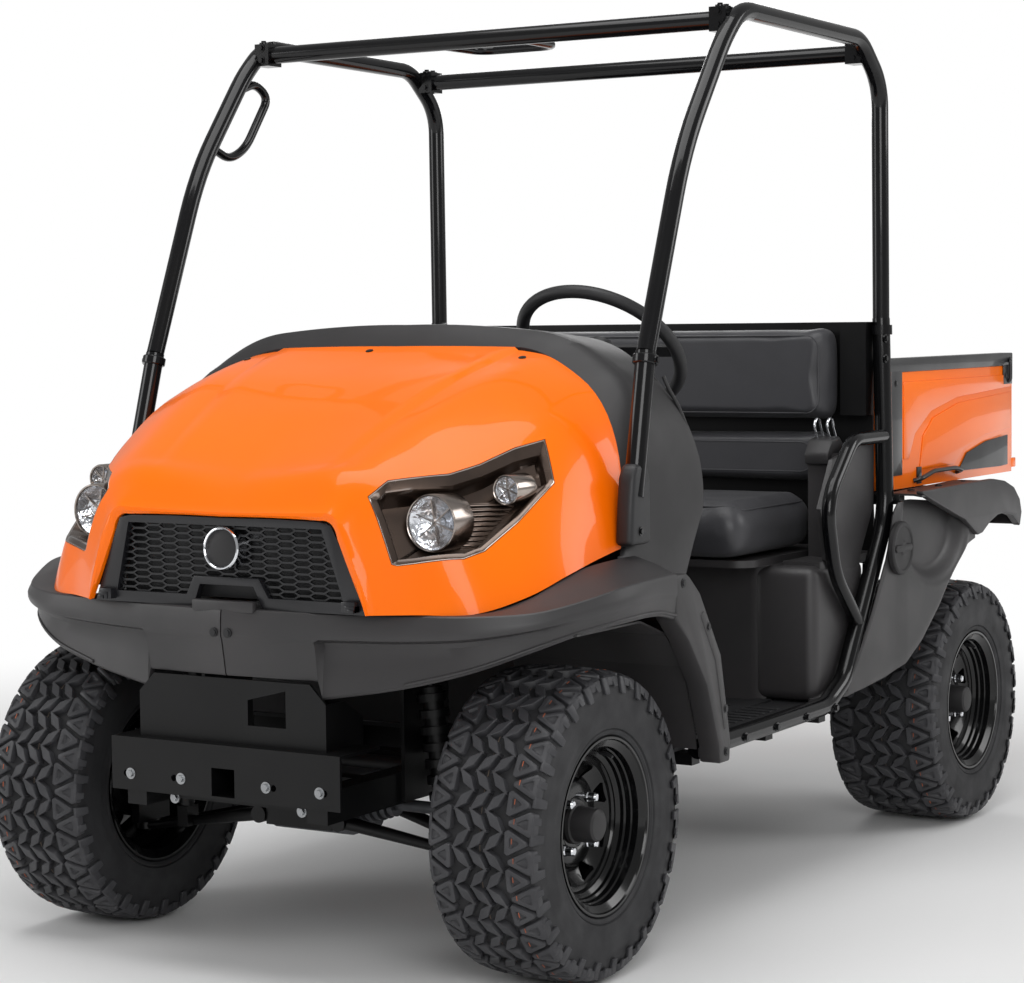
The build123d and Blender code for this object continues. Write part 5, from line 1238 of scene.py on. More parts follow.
def make_fenders():
    """Wraparound bumper with its seam and scoops, fender tops, legs and bolts."""
    rows = [fender_row(station) for station in FENDER_STATIONS]
    start = [Vector(point) for point in rows[0]]
    rows[0] = [(1.5, point.y, point.z) for point in start]
    rows = rows[:2] + smooth_rows(rows[2:], 7)
    count = len(rows[0])
    points = [point for row in rows for point in row]
    faces = grid_faces(len(rows), count, closed_columns=True)
    faces += [tuple(range(count)), tuple(range(len(points) - count, len(points)))[::-1]]
    shell = tidy_mesh(mesh_piece("fender_shell", points, faces, CHARCOAL), 28)
    leg = [(fy(168), 752), (fy(212), 752), (fy(226), 744), (fy(269), 709), (fy(357), 579), (fy(397), 404),
           (fy(392), 364), (fy(350), 364), (fy(346), 400), (fy(296), 526), (fy(221), 621), (fy(168), 668)]
    slope = slab("fender_leg", leg, across(), 646, 693.5, CHARCOAL, 5)
    rib = [(fy(280), 674), (fy(348), 572), (fy(380), 430), (fy(366), 430), (fy(330), 570), (fy(268), 664)]
    raised = slab("leg_rib", rib, across(), 690, 694.5, CHARCOAL, 1.6)
    bridge = rounded_block("fender_bridge", (600, 652), (fy(168), fy(206)), (744, 754), CHARCOAL, 3)
    foot = rounded_block("leg_foot", (640, 652), (fy(356), fy(390)), (372, 391), CHARCOAL, 2)
    lip_path = [tuple(Vector(fender_row(station)[13]) + Vector((0, 0, 3)))
                for station in FENDER_STATIONS[3:]]
    lip = rod_mesh("arch_lip", [tuple(p) for row in smooth_rows([[q] for q in lip_path], 5) for p in row],
                   3.4, CHARCOAL, 10)
    half = join("fender_half", [shell, slope, raised, bridge, foot, lip])
    whole = both_sides(half, "fenders_both")
    under = rounded_block("bridge_step", (-72, 72), (fy(-338), fy(-322)), (700, 722), CHARCOAL, 4)
    spots = [((16, fy(-343), 662), (0, -1, 0)), ((-16, fy(-343), 662), (0, -1, 0))]
    spots += [((side * 693.5, fy(back), z), (side, 0, 0)) for side in (1, -1)
              for back, z in ((196, 735), (300, 640), (372, 470), (374, 385))]
    heads = bolts("fender_bolts", spots, SOFT_BLACK, 5.5, 3.5, 9, 20)
    place(join("front_fenders_dressed", [whole, under, heads]), "vehicle", "moulded_charcoal",
          "front_fenders")


# ------------------------------------------------------------------ cowl
# Columns: as for the hood.
COWL_SECTIONS = [
    (190, [(0, 1214), (150, 1213), (300, 1202), (385, 1182), (470, 1136), (566, 1020), (599, 812)]),
    (320, [(0, 1232), (150, 1230), (310, 1218), (400, 1196), (484, 1148), (580, 1030), (603, 812)]),
    (480, [(0, 1218), (150, 1216), (310, 1204), (404, 1184), (490, 1138), (584, 1020), (605, 812)]),
]
COWL_SIDE = [(60, 1290), (60, 757), (214, 757), (262, 690), (372, 691), (384, 732),
             (440, 830), (457, 865), (459, 910), (456, 954), (444, 1010), (430, 1062), (414, 1100),
             (412, 1123), (424, 1146), (440, 1165), (470, 1205), (474, 1290)]
COWL_ROLL = 44.0
COWL_REAR = COWL_SECTIONS[-1][0]
COWL_FACE_STEPS, COWL_SIDE_STEPS = 14, 17
COWL_WALL = 4.5
COWL_NARROWING = 0.9985
COWL_DROP = 0.6


def cowl_face(column_points, back):
    """A column's place on the cowl's swelling at a distance behind the front axle."""
    backs = [section[0] for section in COWL_SECTIONS]
    first = 0 if back < backs[1] else 1
    share = (back - backs[first]) / (backs[first + 1] - backs[first])
    (ax, az), (bx, bz) = column_points[first], column_points[first + 1]
    rise = (az + (bz - az) * share) if first else bz + (az - bz) * (1 - share) ** 2
    return (ax + (bx - ax) * share, fy(back), rise)


def seam_point(column):
    """Where a column of the hood's face crosses the seam, just behind the gap."""
    for first, second in zip(column, column[1:]):
        before, after = (p[1] - fy(SEAM_BACK + 2) - SEAM_SLOPE * (p[2] - SEAM_Z) for p in (first, second))
        if before <= 0 <= after:
            return tuple(Vector(first).lerp(Vector(second), before / (before - after)))
    return column[-1]


def make_cowl():
    """Moulded cowl that rolls up from the hood's seam, with its side cut and rolled rear edge."""
    hood_rows = smooth_rows([[(x, fy(back), z) for x, z in half_section(half)]
                             for back, half in HOOD_SECTIONS], 6)
    seams = [seam_point(column) for column in transpose(hood_rows)]
    sections = [half_section(half) for _, half in COWL_SECTIONS]
    columns = []
    for index, seam in enumerate(seams):
        places = [section[index] for section in sections]
        back = seam[1] - fy(0)
        start = min(back + COWL_ROLL, 300)
        column = [(seam[0] - 3, seam[1] + 3, seam[2] - 12), (seam[0] - 0.6, seam[1], seam[2] - 0.8)]
        column += [tuple(Vector(seam).lerp(Vector(cowl_face(places, start)), share) + Vector((0, 0, lift)))
                   for share, lift in ((0.3, 3.0), (0.65, 3.4))]
        column += [cowl_face(places, start + (COWL_REAR - start) * step / COWL_FACE_STEPS)
                   for step in range(COWL_FACE_STEPS + 1)]
        columns.append(column)
    for z in (790, 740, 680):
        columns.append([(600, fy(110), z)]
                       + [(603.6, fy(112 + (COWL_REAR - 112) * step / COWL_SIDE_STEPS), z)
                          for step in range(COWL_SIDE_STEPS + 1)])
    rows = []
    for half in transpose(columns):
        rows.append([(-x, y, z) for x, y, z in half[:0:-1]] + list(half))
    shell = tidy_mesh(thicken(tidy_mesh(grid_piece("cowl_skin", rows, COWL_BLACK)), COWL_WALL), 32)
    for vertex in shell.data.vertices:
        vertex.co.x *= COWL_NARROWING
        vertex.co.z -= COWL_DROP * MM
    keep = slab("cowl_keep", [(fy(back), z) for back, z in COWL_SIDE], across(), -700, 700,
                COWL_BLACK, 0)
    cut(shell, keep, operation="INTERSECT")
    shell = tidy_mesh(shell, 32)
    trims = []
    edge = [(459, 900), (455, 954), (443, 1010), (429, 1062), (413, 1100), (411, 1123)]
    for side in (1, -1):
        path = []
        for back, z in edge:
            share = (z - 812) / (1030 - 812)
            path.append((side * (601 - 21 * min(share, 1) - max(0, share - 1) * 88), fy(back) - 2, z))
        trims.append(rod_mesh(f"cowl_edge_{side}", rounded_path(path, 30), 4.0, COWL_BLACK, 10))
    place(join("cowl_dressed", [shell] + trims), "vehicle", "moulded_charcoal", "cowl")


# ------------------------------------------------------------------ seat
CUSHION_Y = (ry(-961), ry(-506))
CUSHION_Z = (706.0, 836.0)
BACK_Y = (ry(-446) - 84.3, ry(-446) - 0.3)
UPPER_BACK_Z = (986.0, 1224.0)
LOWER_BACK_Z = (850.0, 978.0)
FILLING_PRESSURE = 4.0
FILLING_STEPS = 20
COVER_STIFFNESS = 12.0
COVER_BENDING = 1.2
COVER_MASS = 0.35
HELD_DEPTH = 0.012
SWELL_SHARE = 0.30


def stuffed(name, x, y, z, corner, voxel, cap, held, passes):
    """Padded form swollen by a short cloth run inside its own box; held is the flat side's direction."""
    shrink = cap * SWELL_SHARE
    low = [x[0] + shrink, y[0] + shrink, z[0] + shrink]
    high = [x[1] - shrink, y[1] - shrink, z[1] - shrink]
    runs = list(zip(low, high))
    piece = rounded_block(name, *runs, SEAT_VINYL, corner, 4)
    remesh = piece.modifiers.new("even", "REMESH")
    remesh.mode = "VOXEL"
    remesh.voxel_size = voxel * MM
    settle(piece)
    before = [vertex.co.copy() for vertex in piece.data.vertices]
    group = piece.vertex_groups.new(name="held")
    limit = max(point.dot(Vector(held)) for point in before)
    flat = [index for index, point in enumerate(before)
            if point.dot(Vector(held)) > limit - HELD_DEPTH]
    group.add(flat, 1.0, "ADD")
    cloth = piece.modifiers.new("filling", "CLOTH")
    cloth.settings.quality = 4
    cloth.settings.mass = COVER_MASS
    cloth.settings.tension_stiffness = COVER_STIFFNESS
    cloth.settings.compression_stiffness = COVER_STIFFNESS
    cloth.settings.bending_stiffness = COVER_BENDING
    cloth.settings.use_pressure = True
    cloth.settings.uniform_pressure_force = FILLING_PRESSURE
    cloth.settings.vertex_group_mass = "held"
    cloth.settings.effector_weights.gravity = 0.0
    cloth.collision_settings.use_collision = False
    scene = bpy.context.scene
    for step in range(1, FILLING_STEPS + 1):
        scene.frame_set(step)
    settle(piece)
    scene.frame_set(1)
    for vertex, start in zip(piece.data.vertices, before):
        shift = vertex.co - start
        if shift.length > cap * MM:
            vertex.co = start + shift.normalized() * cap * MM
    piece.vertex_groups.clear()
    with edited(piece) as edit:
        for _ in range(passes):
            bmesh.ops.smooth_vert(edit, verts=edit.verts, factor=0.5, use_axis_x=True, use_axis_y=True,
                                  use_axis_z=True)
    for vertex in piece.data.vertices:
        for axis, (floor, ceiling) in enumerate((x, y, z)):
            vertex.co[axis] = min(max(vertex.co[axis], floor * MM), ceiling * MM)
    subdivide = piece.modifiers.new("soft", "SUBSURF")
    subdivide.levels = subdivide.render_levels = 1
    settle(piece)
    piece.data.materials.clear()
    piece.data.materials.append(SEAT_VINYL)
    return tidy_mesh(piece, 80, False)


def welt(name, path, closed=False):
    """Raised sewn welt along a path."""
    return rod_mesh(name, path + path[:1] if closed else path, 2.2, SEAT_VINYL, 8)


def rounded_loop(low_u, high_u, low_v, high_v, radius, steps=6):
    """Rounded rectangle as a closed list of (u, v)."""
    loop = []
    for cu, cv, start in ((high_u - radius, high_v - radius, 0), (low_u + radius, high_v - radius, 1),
                          (low_u + radius, low_v + radius, 2), (high_u - radius, low_v + radius, 3)):
        for step in range(steps + 1):
            angle = (start + step / steps) * pi / 2
            loop.append((cu + radius * cos(angle), cv + radius * sin(angle)))
    return loop


def make_seat():
    """Bench cushion and two backrests, each with its welts."""
    # Columns: node, x, y and z runs, corner radius, mesh size, most swell, fill, flat side, passes.
    pads = (
        ("seat_cushion", (-500, 500), CUSHION_Y, CUSHION_Z, 66, 9, 14, 0.75, (0, 0, -1), 22),
        ("seat_back_upper", (-515, 515), BACK_Y, UPPER_BACK_Z, 36, 8, 12, 0.8, (0, 1, 0), 12),
        ("seat_back_lower", (-495, 495), (BACK_Y[0] + 18, BACK_Y[1]), LOWER_BACK_Z, 26, 7, 9, 0.8,
         (0, 1, 0), 10),
    )
    for node_name, x, y, z, corner, voxel, cap, fill, held, passes in pads:
        pad = stuffed(node_name + "_pad", x, y, z, corner, voxel, cap, held, passes)
        tree = surface_tree(pad)
        welts = []
        if held == (0, 1, 0):
            loop = rounded_loop(x[0] + 34, x[1] - 34, z[0] + 30, z[1] - 30, 30)
            drops = [(Vector((u, y[0] - 60, v)), Vector((0, 1, 0))) for u, v in loop]
        else:
            loop = rounded_loop(x[0] + 40, x[1] - 40, y[0] + 44, y[1] - 30, 44)
            drops = [(Vector((u, v, z[1] + 60)), Vector((0, 0, -1))) for u, v in loop]
        path = []
        for start, way in drops:
            hit = tree.ray_cast(start, way)
            if hit[0]:
                path.append(tuple(hit[0] + way * 0.9))
        welts.append(welt(node_name + "_welt", path, True))
        whole = join(node_name + "_dressed", [pad] + welts)
        place(whole, "vehicle", "seat_vinyl", node_name)


# ------------------------------------------------------------------ dump bed, tailgate and rear bodywork
BED_HALF_WIDTH = 600.0
BED_Y = (ry(-411), ry(415))
BED_LOW_Z = 832.0
RAIL_LOW_Z = 1105.0
BED_RAIL_Z = 1138.0


def pressed_side(name, x_face, side):
    """Flat bed side with pressed steps along its foot."""
    sheet = slab(name, [(BED_Y[0], BED_LOW_Z), (BED_Y[1], BED_LOW_Z), (BED_Y[1], RAIL_LOW_Z),
                        (BED_Y[0], RAIL_LOW_Z)],
                 across(side), x_face - 4, x_face - 0.6, BED_ORANGE, 0.8)
    ribs = []
    upper = [(522, 1082), (522, 900), (552, 900), (590, 958), (690, 1008), (860, 1036), (1232, 1052),
             (1232, 1082)]
    middle = [(620, 872), (840, 872), (905, 908), (1050, 936), (1232, 946), (1232, 1038), (870, 1022),
              (705, 992), (640, 950)]
    for number, field in enumerate((upper, middle)):
        ribs.append(slab(f"{name}_field_{number}", field, across(side), x_face - 2,
                         x_face + 2.2, BED_ORANGE, 2.0))
    return [sheet] + ribs


def make_bed():
    """Orange bed sides and front, black top rail with its latch strips, hooks and tailgate."""
    inner_x = BED_HALF_WIDTH - 30
    skins = pressed_side("bed_left", BED_HALF_WIDTH, 1) + pressed_side("bed_right", BED_HALF_WIDTH, -1)
    front = slab("bed_front", [(-BED_HALF_WIDTH + 1, BED_LOW_Z), (BED_HALF_WIDTH - 1, BED_LOW_Z),
                               (BED_HALF_WIDTH - 1, RAIL_LOW_Z), (-BED_HALF_WIDTH + 1, RAIL_LOW_Z)],
                 upright(BED_Y[0]), 0.6, 5, BED_ORANGE, 0.8)
    ends = [rounded_block(f"bed_end_{side}", tuple(sorted((side * inner_x, side * (BED_HALF_WIDTH - 1)))),
                          (BED_Y[1] - 6, BED_Y[1]), (BED_LOW_Z, RAIL_LOW_Z), BED_ORANGE, 1)
            for side in (1, -1)]
    ears = [rounded_block(f"bed_ear_{side}", tuple(sorted((side * 590.5, side * 599.5))),
                          (BED_Y[1] - 4, BED_Y[1] + 31), (842, 866), BED_ORANGE, 2)
            for side in (1, -1)]
    place(join("bed_skins_dressed", skins + [front] + ends + ears), "dump_bed", "bed_orange", "bed_skins")

    outer = [(-603, BED_Y[0] - 3), (603, BED_Y[0] - 3), (603, BED_Y[1]), (566.5, BED_Y[1]),
             (566.5, BED_Y[0] + 9.5), (-566.5, BED_Y[0] + 9.5), (-566.5, BED_Y[1]), (-603, BED_Y[1])]
    rail = slab("bed_rail_top", outer, level, RAIL_LOW_Z, BED_RAIL_Z, BED_BLACK, 3)
    details = []
    for side in (1, -1):
        for y_low, y_high, z_low in ((BED_Y[0] + 26, BED_Y[0] + 92, 864),
                                     (BED_Y[1] - 66, BED_Y[1] - 4, 1058)):
            x = tuple(sorted((side * 599.4, side * 603)))
            details.append(rounded_block(f"latch_strip_{side}_{z_low}", x, (y_low, y_high),
                                         (z_low, RAIL_LOW_Z + 4), BED_BLACK, 1.4))
        hook = [(side * 602, BED_Y[1] - 34, 1064), (side * 609, BED_Y[1] - 34, 1070),
                (side * 609, BED_Y[1] - 34, 1116), (side * 600, BED_Y[1] - 18, 1124)]
        details.append(rod_mesh(f"gate_latch_{side}", rounded_path(hook, 8), 5, BED_BLACK, 12))
    spots = [((side * 603, y, z), (side, 0, 0)) for side in (1, -1)
             for y, z in ((BED_Y[0] + 20, 890), (BED_Y[0] + 20, 985), (BED_Y[0] + 20, 1080),
                          (BED_Y[0] + 54, 1080), (BED_Y[1] - 20, 1080), (BED_Y[1] - 52, 1080))]
    details.append(bolts("bed_bolts", spots, BED_BLACK, 5.5, 3.2, 8))
    place(join("bed_rail_dressed", [rail] + details), "dump_bed", "bed_black", "bed_rail")

    gate_y = BED_Y[1] + 6
    gate = slab("gate_sheet", [(-588, 868), (588, 868), (588, 1103), (-588, 1103)],
                upright(gate_y), 0.4, 25.0, BED_ORANGE, 3)
    presses = []
    for index in range(2):
        outline = rounded_loop(-548 + index * 560, -12 + index * 560, 906, 1068, 22)
        presses.append(slab(f"gate_press_{index}", outline, upright(gate_y), 23, 26,
                            BED_ORANGE, 1.4))
    place(join("tailgate_dressed", [gate] + presses), "tailgate", "bed_orange")


# ------------------------------------------------------------------ rear quarter panels and flares
QUARTER_STEPS, QUARTER_RISES = 96, 40

# Columns: y, lower z, upper z, outer x.
QUARTER_LINES = [
    (-13, 398, 405, 606), (109, 396, 408, 640), (178, 403, 500, 647), (229, 410, 575, 652),
    (299, 420, 690, 658), (330, 427, 786, 661), (352, 432, 812, 664), (387, 439, 812, 668),
    (472, 484, 811, 673), (565, 557, 803, 679), (629, 622, 792, 683), (723, 686, 764, 685),
    (768, 698, 716, 685.5),
]
POCKET_CENTRE = (540.0, 760.0)
POCKET_REACH = (184.0, 150.0)
POCKET_DEPTH = 30.0
QUARTER_WALL = 5


def along_table(table, at, column):
    """Value of a column at a place along the table's first column."""
    for first, second in zip(table, table[1:]):
        if at <= second[0]:
            share = max(0.0, (at - first[0]) / (second[0] - first[0]))
            return first[column] + (second[column] - first[column]) * share
    return table[-1][column]


def quarter_panel():
    """Moulded panel from the sill to the flare, with the pocket of the filler pressed in."""
    rows = []
    first_y, last_y = QUARTER_LINES[0][0], QUARTER_LINES[-1][0]
    for step in range(QUARTER_STEPS + 1):
        y = first_y + (last_y - first_y) * step / QUARTER_STEPS
        low, high, outer = (along_table(QUARTER_LINES, y, column) for column in (1, 2, 3))
        row = []
        for rise in range(QUARTER_RISES + 1):
            z = low + (high - low) * rise / QUARTER_RISES
            reach = hypot((y - POCKET_CENTRE[0]) / POCKET_REACH[0],
                          (z - POCKET_CENTRE[1]) / POCKET_REACH[1])
            x = outer - POCKET_DEPTH * (1 - smooth_step(reach, 0.72, 0.98))
            x += 1.8 * (smooth_step(reach, 0.97, 1.01) - smooth_step(reach, 1.03, 1.10)) * (z > 560)
            edge = min(rise, QUARTER_RISES - rise) / 3
            x -= 4.0 * (1 - min(1.0, edge)) ** 2
            row.append((x - 2.5, y, z))
        rows.append(row)
    return tidy_mesh(thicken(tidy_mesh(grid_piece("quarter_skin", rows, CHARCOAL)), QUARTER_WALL), 40)


FLARE_FACE = [
    (412, 828), (463, 812), (606, 770), (677, 750), (762, 707), (790, 710), (840, 732), (893, 746),
    (945, 748), (1000, 736), (1048, 708), (1061, 742), (1048, 776), (1007, 808), (945, 827), (870, 836),
    (700, 837), (412, 835),
]


def rear_flare():
    """Flat top behind the tube, rolled outer edge and the deep side of the flare."""
    face = slab("flare_face", FLARE_FACE, across(), 676, 694.5, CHARCOAL, 6)
    path = [(411, 828), (700, 832), (870, 832), (945, 822), (1003, 803), (1041, 772), (1053, 742),
            (1046, 712)]
    rows = []
    for y, z in path:
        rows.append([(x, y, z - 3.0 * smooth_step(x, 670, 694)) for x in (606, 630, 655, 672, 684, 692)])
    top = thicken(tidy_mesh(grid_piece("flare_top", smooth_rows(rows, 6), CHARCOAL)), 5)
    return [face, tidy_mesh(top, 40)]


def make_rear_bodywork():
    """Quarter panels, flares on their beams, and the filler cover in its pocket."""
    place(both_sides(quarter_panel(), "quarters_dressed"), "vehicle", "moulded_charcoal",
          "rear_quarter_panels")
    half = rear_flare()
    for y in (REAR_AXLE_Y - 410, REAR_AXLE_Y - 120):
        half.append(rounded_block(f"flare_arm_{y:.0f}", (440, 640), (y - 16, y + 16), (803, 826),
                                  CHASSIS_BLACK, 3))
    heads = bolts("flare_bolts", [((640, y, 832.5), (0, 0, 1)) for y in (470, 640, 800)], SOFT_BLACK, 5.5,
                  3, 9, 20)
    place(both_sides(join("flare_half", half + [heads]), "flares_dressed"), "vehicle", "moulded_charcoal",
          "rear_flares")
    y, z = ry(-478), 708
    cap_line = [(-1, 61.5), (8, 61), (11, 58.5), (12, 55), (11, 51), (9, 49), (9, 20), (10, 17),
                (12.5, 14), (13, 0)]
    cover = turned("filler_cap", cap_line, (661, y, z), (1, 0, 0), COWL_BLACK, 80, 28)
    grips = slab("filler_grip", [(-42, -8), (42, -8), (48, 0), (42, 8), (-42, 8), (-48, 0)],
                 lambda u, v, w: (661 + w, y + u, z + v), 8, 13.4, COWL_BLACK, 2)
    place(join("filler_cover_dressed", [cover, grips]), "vehicle", "moulded_charcoal", "filler_cover")


# ------------------------------------------------------------------ small pieces of the cab and frame
HOOP_X = 602.0
A_FOOT, A_JOINT = Vector((611, fy(152), 900)), Vector((602, fy(225), 1175))


def make_front_posts():
    """Post stubs in their boots, with the bolted collars where the roll frame stands on them."""
    along = (A_JOINT - A_FOOT).normalized()
    tube = rod_mesh("post_stub", [tuple(A_FOOT), tuple(A_JOINT)], 20, TUBE_BLACK, 28)
    collar_line = [(-25, 20), (-25, 23.4), (-23, 25), (-9, 25), (-7, 23.4), (-7, 20)]
    collar = turned("post_collar", collar_line, tuple(A_JOINT), tuple(along), TUBE_BLACK, 40)
    outline = [(fy(112), 808), (fy(118), 880), (fy(126), 938), (fy(140), 963), (fy(184), 965),
               (fy(197), 930), (fy(197), 808)]
    boot = slab("post_boot", outline, across(), 590, 627, SOFT_BLACK, 0)
    boot = tidy_mesh(bevelled(boot, 11, 4, 20), 40)
    heads = bolts("post_bolts", [((627, fy(152), 835), (1, 0, 0)),
                                 (tuple(A_JOINT - along * 16 + Vector((25, 0, 0))), (1, 0, 0))],
                  TUBE_BLACK, 5.5, 4, 9)
    half = join("front_post", [tube, boot, heads, collar])
    place(both_sides(half, "front_posts_dressed"), "vehicle", "frame_black", "front_post_stubs")


def make_grab_handle():
    """Round bent handle inside the curve of the passenger's front post."""
    bends = [(-HOOP_X, fy(548), 1765), (-HOOP_X - 4, fy(608), 1784), (-HOOP_X - 4, fy(658), 1754),
             (-HOOP_X - 4, fy(568), 1634), (-HOOP_X - 4, fy(506), 1606), (-HOOP_X, fy(444), 1628)]
    place(rod_mesh("grab_handle_dressed", rounded_path(bends, 42), 10, TUBE_BLACK, 24), "vehicle",
          "frame_black", "passenger_grab_handle")


def wire_loop(name, centre, wide, high, lean, radius=3.2):
    """Bright wire loop of a belt latch, leaning back."""
    points = []
    for y, z in rounded_loop(-wide / 2, wide / 2, -high / 2, high / 2, wide * 0.42, 5):
        points.append((centre[0], centre[1] + y * cos(lean) + z * sin(lean),
                       centre[2] - y * sin(lean) + z * cos(lean)))
    return rod_mesh(name, points + points[:1], radius, CHROME, 10)


FLOOR_RIB_COUNT, FLOOR_RIB_PITCH = 15, 34
SILL_BOLT_COUNT, SILL_BOLT_PITCH = 5, 150


def make_cab_details(skin):
    """Skirt below the bench, belt latches, floor ribs and frame bolts."""
    for side, tag in ((1, "left"), (-1, "right")):
        skirt = rounded_block(f"seat_skirt_{tag}", tuple(sorted((side * 446, side * 598))), (26, 300),
                              (389, 688), CHARCOAL, 26, 5)
        latch = slab(f"latch_head_{tag}", [(172, 906), (262, 900), (276, 934), (236, 968), (196, 962),
                                           (170, 930)],
                     across(side), 506, 566, COWL_BLACK, 6)
        loops = [wire_loop(f"latch_loop_{tag}_{index}", (side * (524 + 22 * index), 214 + 20 * index, 978),
                           30, 62, -0.5) for index in range(2)]
        place(join(f"seat_trim_{tag}", [skirt, latch] + loops), "vehicle", "moulded_charcoal")
    ribs = []
    for index in range(FLOOR_RIB_COUNT):
        y = fy(392) + 24 + index * FLOOR_RIB_PITCH
        ribs.append(slab(f"floor_rib_{index}", [(-560, y), (560, y), (560, y + 12), (-560, y + 12)],
                         level, 386, 390.5, SOFT_BLACK, 1.6))
    place(join("floor_ribs", ribs), "vehicle", "soft_black")
    spots = []
    for y, z in ((fy(618), 1847), (ry(-512), 1833)):
        for side in (1, -1):
            for shift in (-14, 14):
                spots.append(((side * 576, y + shift, z + 25), (0, 0, 1)))
                spots.append(((side * 576, y - 25, z + shift), (0, -1, 0)))
    for side in (1, -1):
        spots += [((side * 641, fy(420) + step * SILL_BOLT_PITCH, 381), (side, 0, 0))
                  for step in range(SILL_BOLT_COUNT)]
        spots += [((side * 622, 365, 1140 + step * 46), (side, 0, 0)) for step in range(2)]
    place(bolts("frame_bolts", spots, TUBE_BLACK, 6.5, 5.5, 10), "vehicle", "frame_black")
    plated = [((x, fy(-343.5), 378), (0, -1, 0)) for x in (-222, -100, 100, 222)]
    plated += [((side * 150, fy(-300), 330), (0, -1, 0)) for side in (1, -1)]
    place(bolts("plated_bolts", plated, ZINC, 7, 6, 11), "vehicle", "drive_metal")
    clips = []
    for x, back in ((-345, 214), (-48, 236), (330, 216)):
        hit = skin.ray_cast(Vector((x, fy(back), 1400)), Vector((0, 0, -1)))
        clips.append((tuple(hit[0]), (0, -0.3, 1)))
    place(bolts("hood_clips", clips, SOFT_BLACK, 6, 2.4, 8, 20), "vehicle", "soft_black")


def make_bed_details():
    """Tie hooks and the plain dark panel low on each bed side."""
    pieces = []
    for side in (1, -1):
        hook = [(side * 600, 585, 846), (side * 618, 592, 852), (side * 621, 660, 866),
                (side * 621, 800, 866), (side * 618, 850, 858), (side * 600, 856, 852)]
        pieces.append(rod_mesh(f"tie_hook_{side}", rounded_path(hook, 16), 5.5, BED_BLACK, 12))
        plate = [(603, 838), (603, 878), (628, 878), (628, 838)]
        pieces.append(slab(f"hook_plate_{side}", plate, across(side), 599, 603,
                           BED_BLACK, 1))
        panel = [(1208, 928), (1208, 852), (1159, 850), (866, 854), (923, 896), (1053, 919)]
        pieces.append(slab(f"dark_panel_{side}", panel, across(side), 601.0, 602.4,
                           BED_BLACK, 0.5))
    place(join("bed_side_fittings", pieces), "dump_bed", "bed_black")


def make_tail_lamps():
    """Round red tail lamps with their black surround."""
    pieces = []
    for side in (1, -1):
        centre = (side * 258, 1262, 470.5)
        pieces.append(turned(f"tail_ring_{side}", [(0, 35.8), (16, 35.5), (18, 33.5), (16, 31)], centre,
                             (0, 1, 0), SOFT_BLACK, 56))
        pieces.append(turned(f"tail_dome_{side}", [(15, 31.4), (20, 29), (24, 21), (26, 10), (26.4, 0)],
                             centre, (0, 1, 0), RED_LENS, 56, 40))
    place(join("tail_lamps_dressed", pieces), "vehicle", "tail_red", "tail_lamps")


hood_tree = make_hood()
make_headlamps(hood_tree)
make_grille()
make_wheels()
make_fenders()
make_cowl()
make_seat()
make_bed()
make_bed_details()
make_rear_bodywork()
make_front_posts()
make_grab_handle()
make_cab_details(hood_tree)
make_tail_lamps()


# ------------------------------------------------------------------ studio
FLOOR_TONE = (0.86, 0.86, 0.86, 1)
FLOOR_REACH = 30000
FLOOR_FADE = (1.9, 4.2)
WORLD_STRENGTH = 0.36
CAMERA_AZIMUTH = 32.07
CAMERA_DOWN = 3.52
CAMERA_ROLL = -0.71
CAMERA_LENS = 90.62
CAMERA_SHIFT = (0.0417, -0.0137)
CAMERA_PLACE = (2.944, -5.139, 1.242)


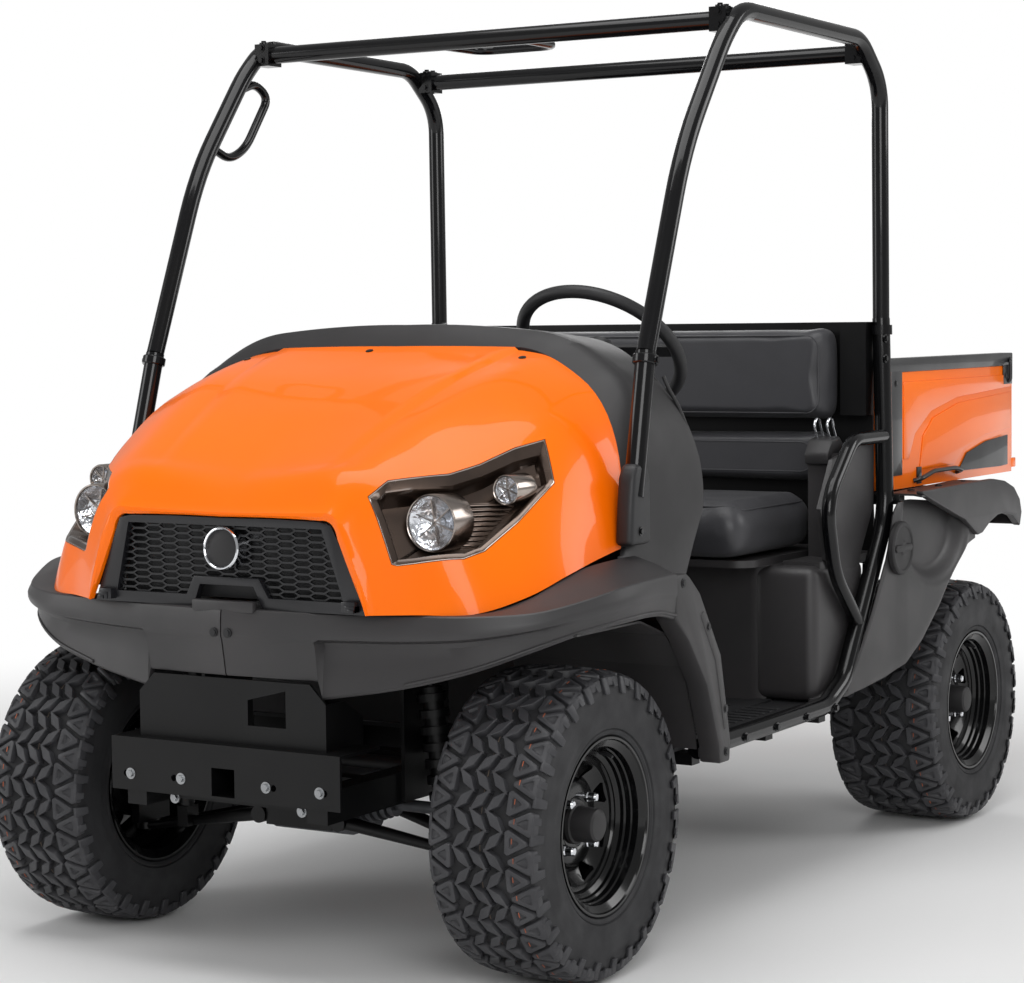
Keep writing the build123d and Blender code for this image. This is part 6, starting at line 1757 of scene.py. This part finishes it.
def make_studio():
    """Pale floor, soft overhead and side panels."""
    floor_finish = bpy.data.materials.new("studio_floor")
    floor_finish.use_nodes = True
    tree = floor_finish.node_tree
    shader = tree.nodes["Principled BSDF"]
    set_inputs(shader, {"Base Color": FLOOR_TONE, "Roughness": 0.7})
    glow = tree.nodes.new("ShaderNodeEmission")
    set_inputs(glow, {"Color": (1, 1, 1, 1), "Strength": 1.0})
    place_on_floor = tree.nodes.new("ShaderNodeTexCoord")
    distance = tree.nodes.new("ShaderNodeVectorMath")
    distance.operation = "LENGTH"
    tree.links.new(place_on_floor.outputs["Object"], distance.inputs[0])
    fade = tree.nodes.new("ShaderNodeMapRange")
    fade.interpolation_type = "SMOOTHSTEP"
    tree.links.new(distance.outputs["Value"], fade.inputs["Value"])
    set_inputs(fade, {"From Min": FLOOR_FADE[0], "From Max": FLOOR_FADE[1]})
    blend = tree.nodes.new("ShaderNodeMixShader")
    tree.links.new(fade.outputs["Result"], blend.inputs["Fac"])
    tree.links.new(shader.outputs[0], blend.inputs[1])
    tree.links.new(glow.outputs[0], blend.inputs[2])
    tree.links.new(blend.outputs[0], tree.nodes["Material Output"].inputs["Surface"])
    corners = [(-FLOOR_REACH, -FLOOR_REACH, 0), (FLOOR_REACH, -FLOOR_REACH, 0),
               (FLOOR_REACH, FLOOR_REACH, 0), (-FLOOR_REACH, FLOOR_REACH, 0)]
    floor = mesh_piece("studio_floor", corners, [(0, 1, 2, 3)], floor_finish)
    world = bpy.data.worlds.new("studio")
    bpy.context.scene.world = world
    world.use_nodes = True
    tree = world.node_tree
    background = tree.nodes["Background"]
    set_inputs(background, {"Color": (1.0, 1.0, 1.0, 1)})
    rays = tree.nodes.new("ShaderNodeLightPath")
    seen = math_node(tree, "MAXIMUM", rays.outputs["Is Camera Ray"], rays.outputs["Is Transmission Ray"])
    strength = tree.nodes.new("ShaderNodeMapRange")
    set_inputs(strength, {"To Min": WORLD_STRENGTH, "To Max": 1.0})
    tree.links.new(seen, strength.inputs["Value"])
    tree.links.new(strength.outputs["Result"], background.inputs["Strength"])
    # Columns: name, place, target, width, height, power.
    panels = [
        ("overhead", (0.3, -1.2, 4.2), (0, 0.1, 0.6), 3.6, 2.4, 95.0),
        ("front_left", (3.4, -4.6, 2.6), (0.2, -0.6, 0.8), 2.4, 2.2, 85.0),
        ("front_right", (-4.4, -3.6, 2.4), (0, -0.6, 0.7), 2.2, 2.6, 60.0),
        ("left_rear", (4.2, 2.6, 2.8), (0.3, 0.6, 0.8), 2.4, 2.0, 60.0),
        ("rear", (-2.4, 4.6, 3.0), (0, 0.8, 0.8), 2.4, 2.0, 45.0),
    ]
    for name, spot, target, width, height, power in panels:
        light = bpy.data.lights.new(name, "AREA")
        light.shape = "RECTANGLE"
        light.size, light.size_y = width, height
        light.energy = power
        lamp = bpy.data.objects.new(name, light)
        lamp.location = spot
        lamp.rotation_euler = (Vector(target) - Vector(spot)).to_track_quat("-Z", "Y").to_euler()
        bpy.context.collection.objects.link(lamp)


def make_camera():
    """Camera at the viewing angle front left of the vehicle."""
    azimuth, down, roll = radians(CAMERA_AZIMUTH), radians(CAMERA_DOWN), radians(CAMERA_ROLL)
    look = Vector((-sin(azimuth) * cos(down), cos(azimuth) * cos(down), -sin(down)))
    level = Vector((cos(azimuth), sin(azimuth), 0))
    over = level.cross(look)
    right = level * cos(roll) + over * sin(roll)
    up = over * cos(roll) - level * sin(roll)
    turn = Matrix((right, up, -look)).transposed().to_4x4()
    data = bpy.data.cameras.new("view")
    data.sensor_fit = "HORIZONTAL"
    data.sensor_width = 36.0
    data.lens = CAMERA_LENS
    data.shift_x, data.shift_y = CAMERA_SHIFT
    camera = bpy.data.objects.new("view", data)
    camera.matrix_world = Matrix.Translation(CAMERA_PLACE) @ turn
    bpy.context.collection.objects.link(camera)
    bpy.context.scene.camera = camera


make_studio()
make_camera()
bpy.context.scene.view_settings.view_transform = "Standard"
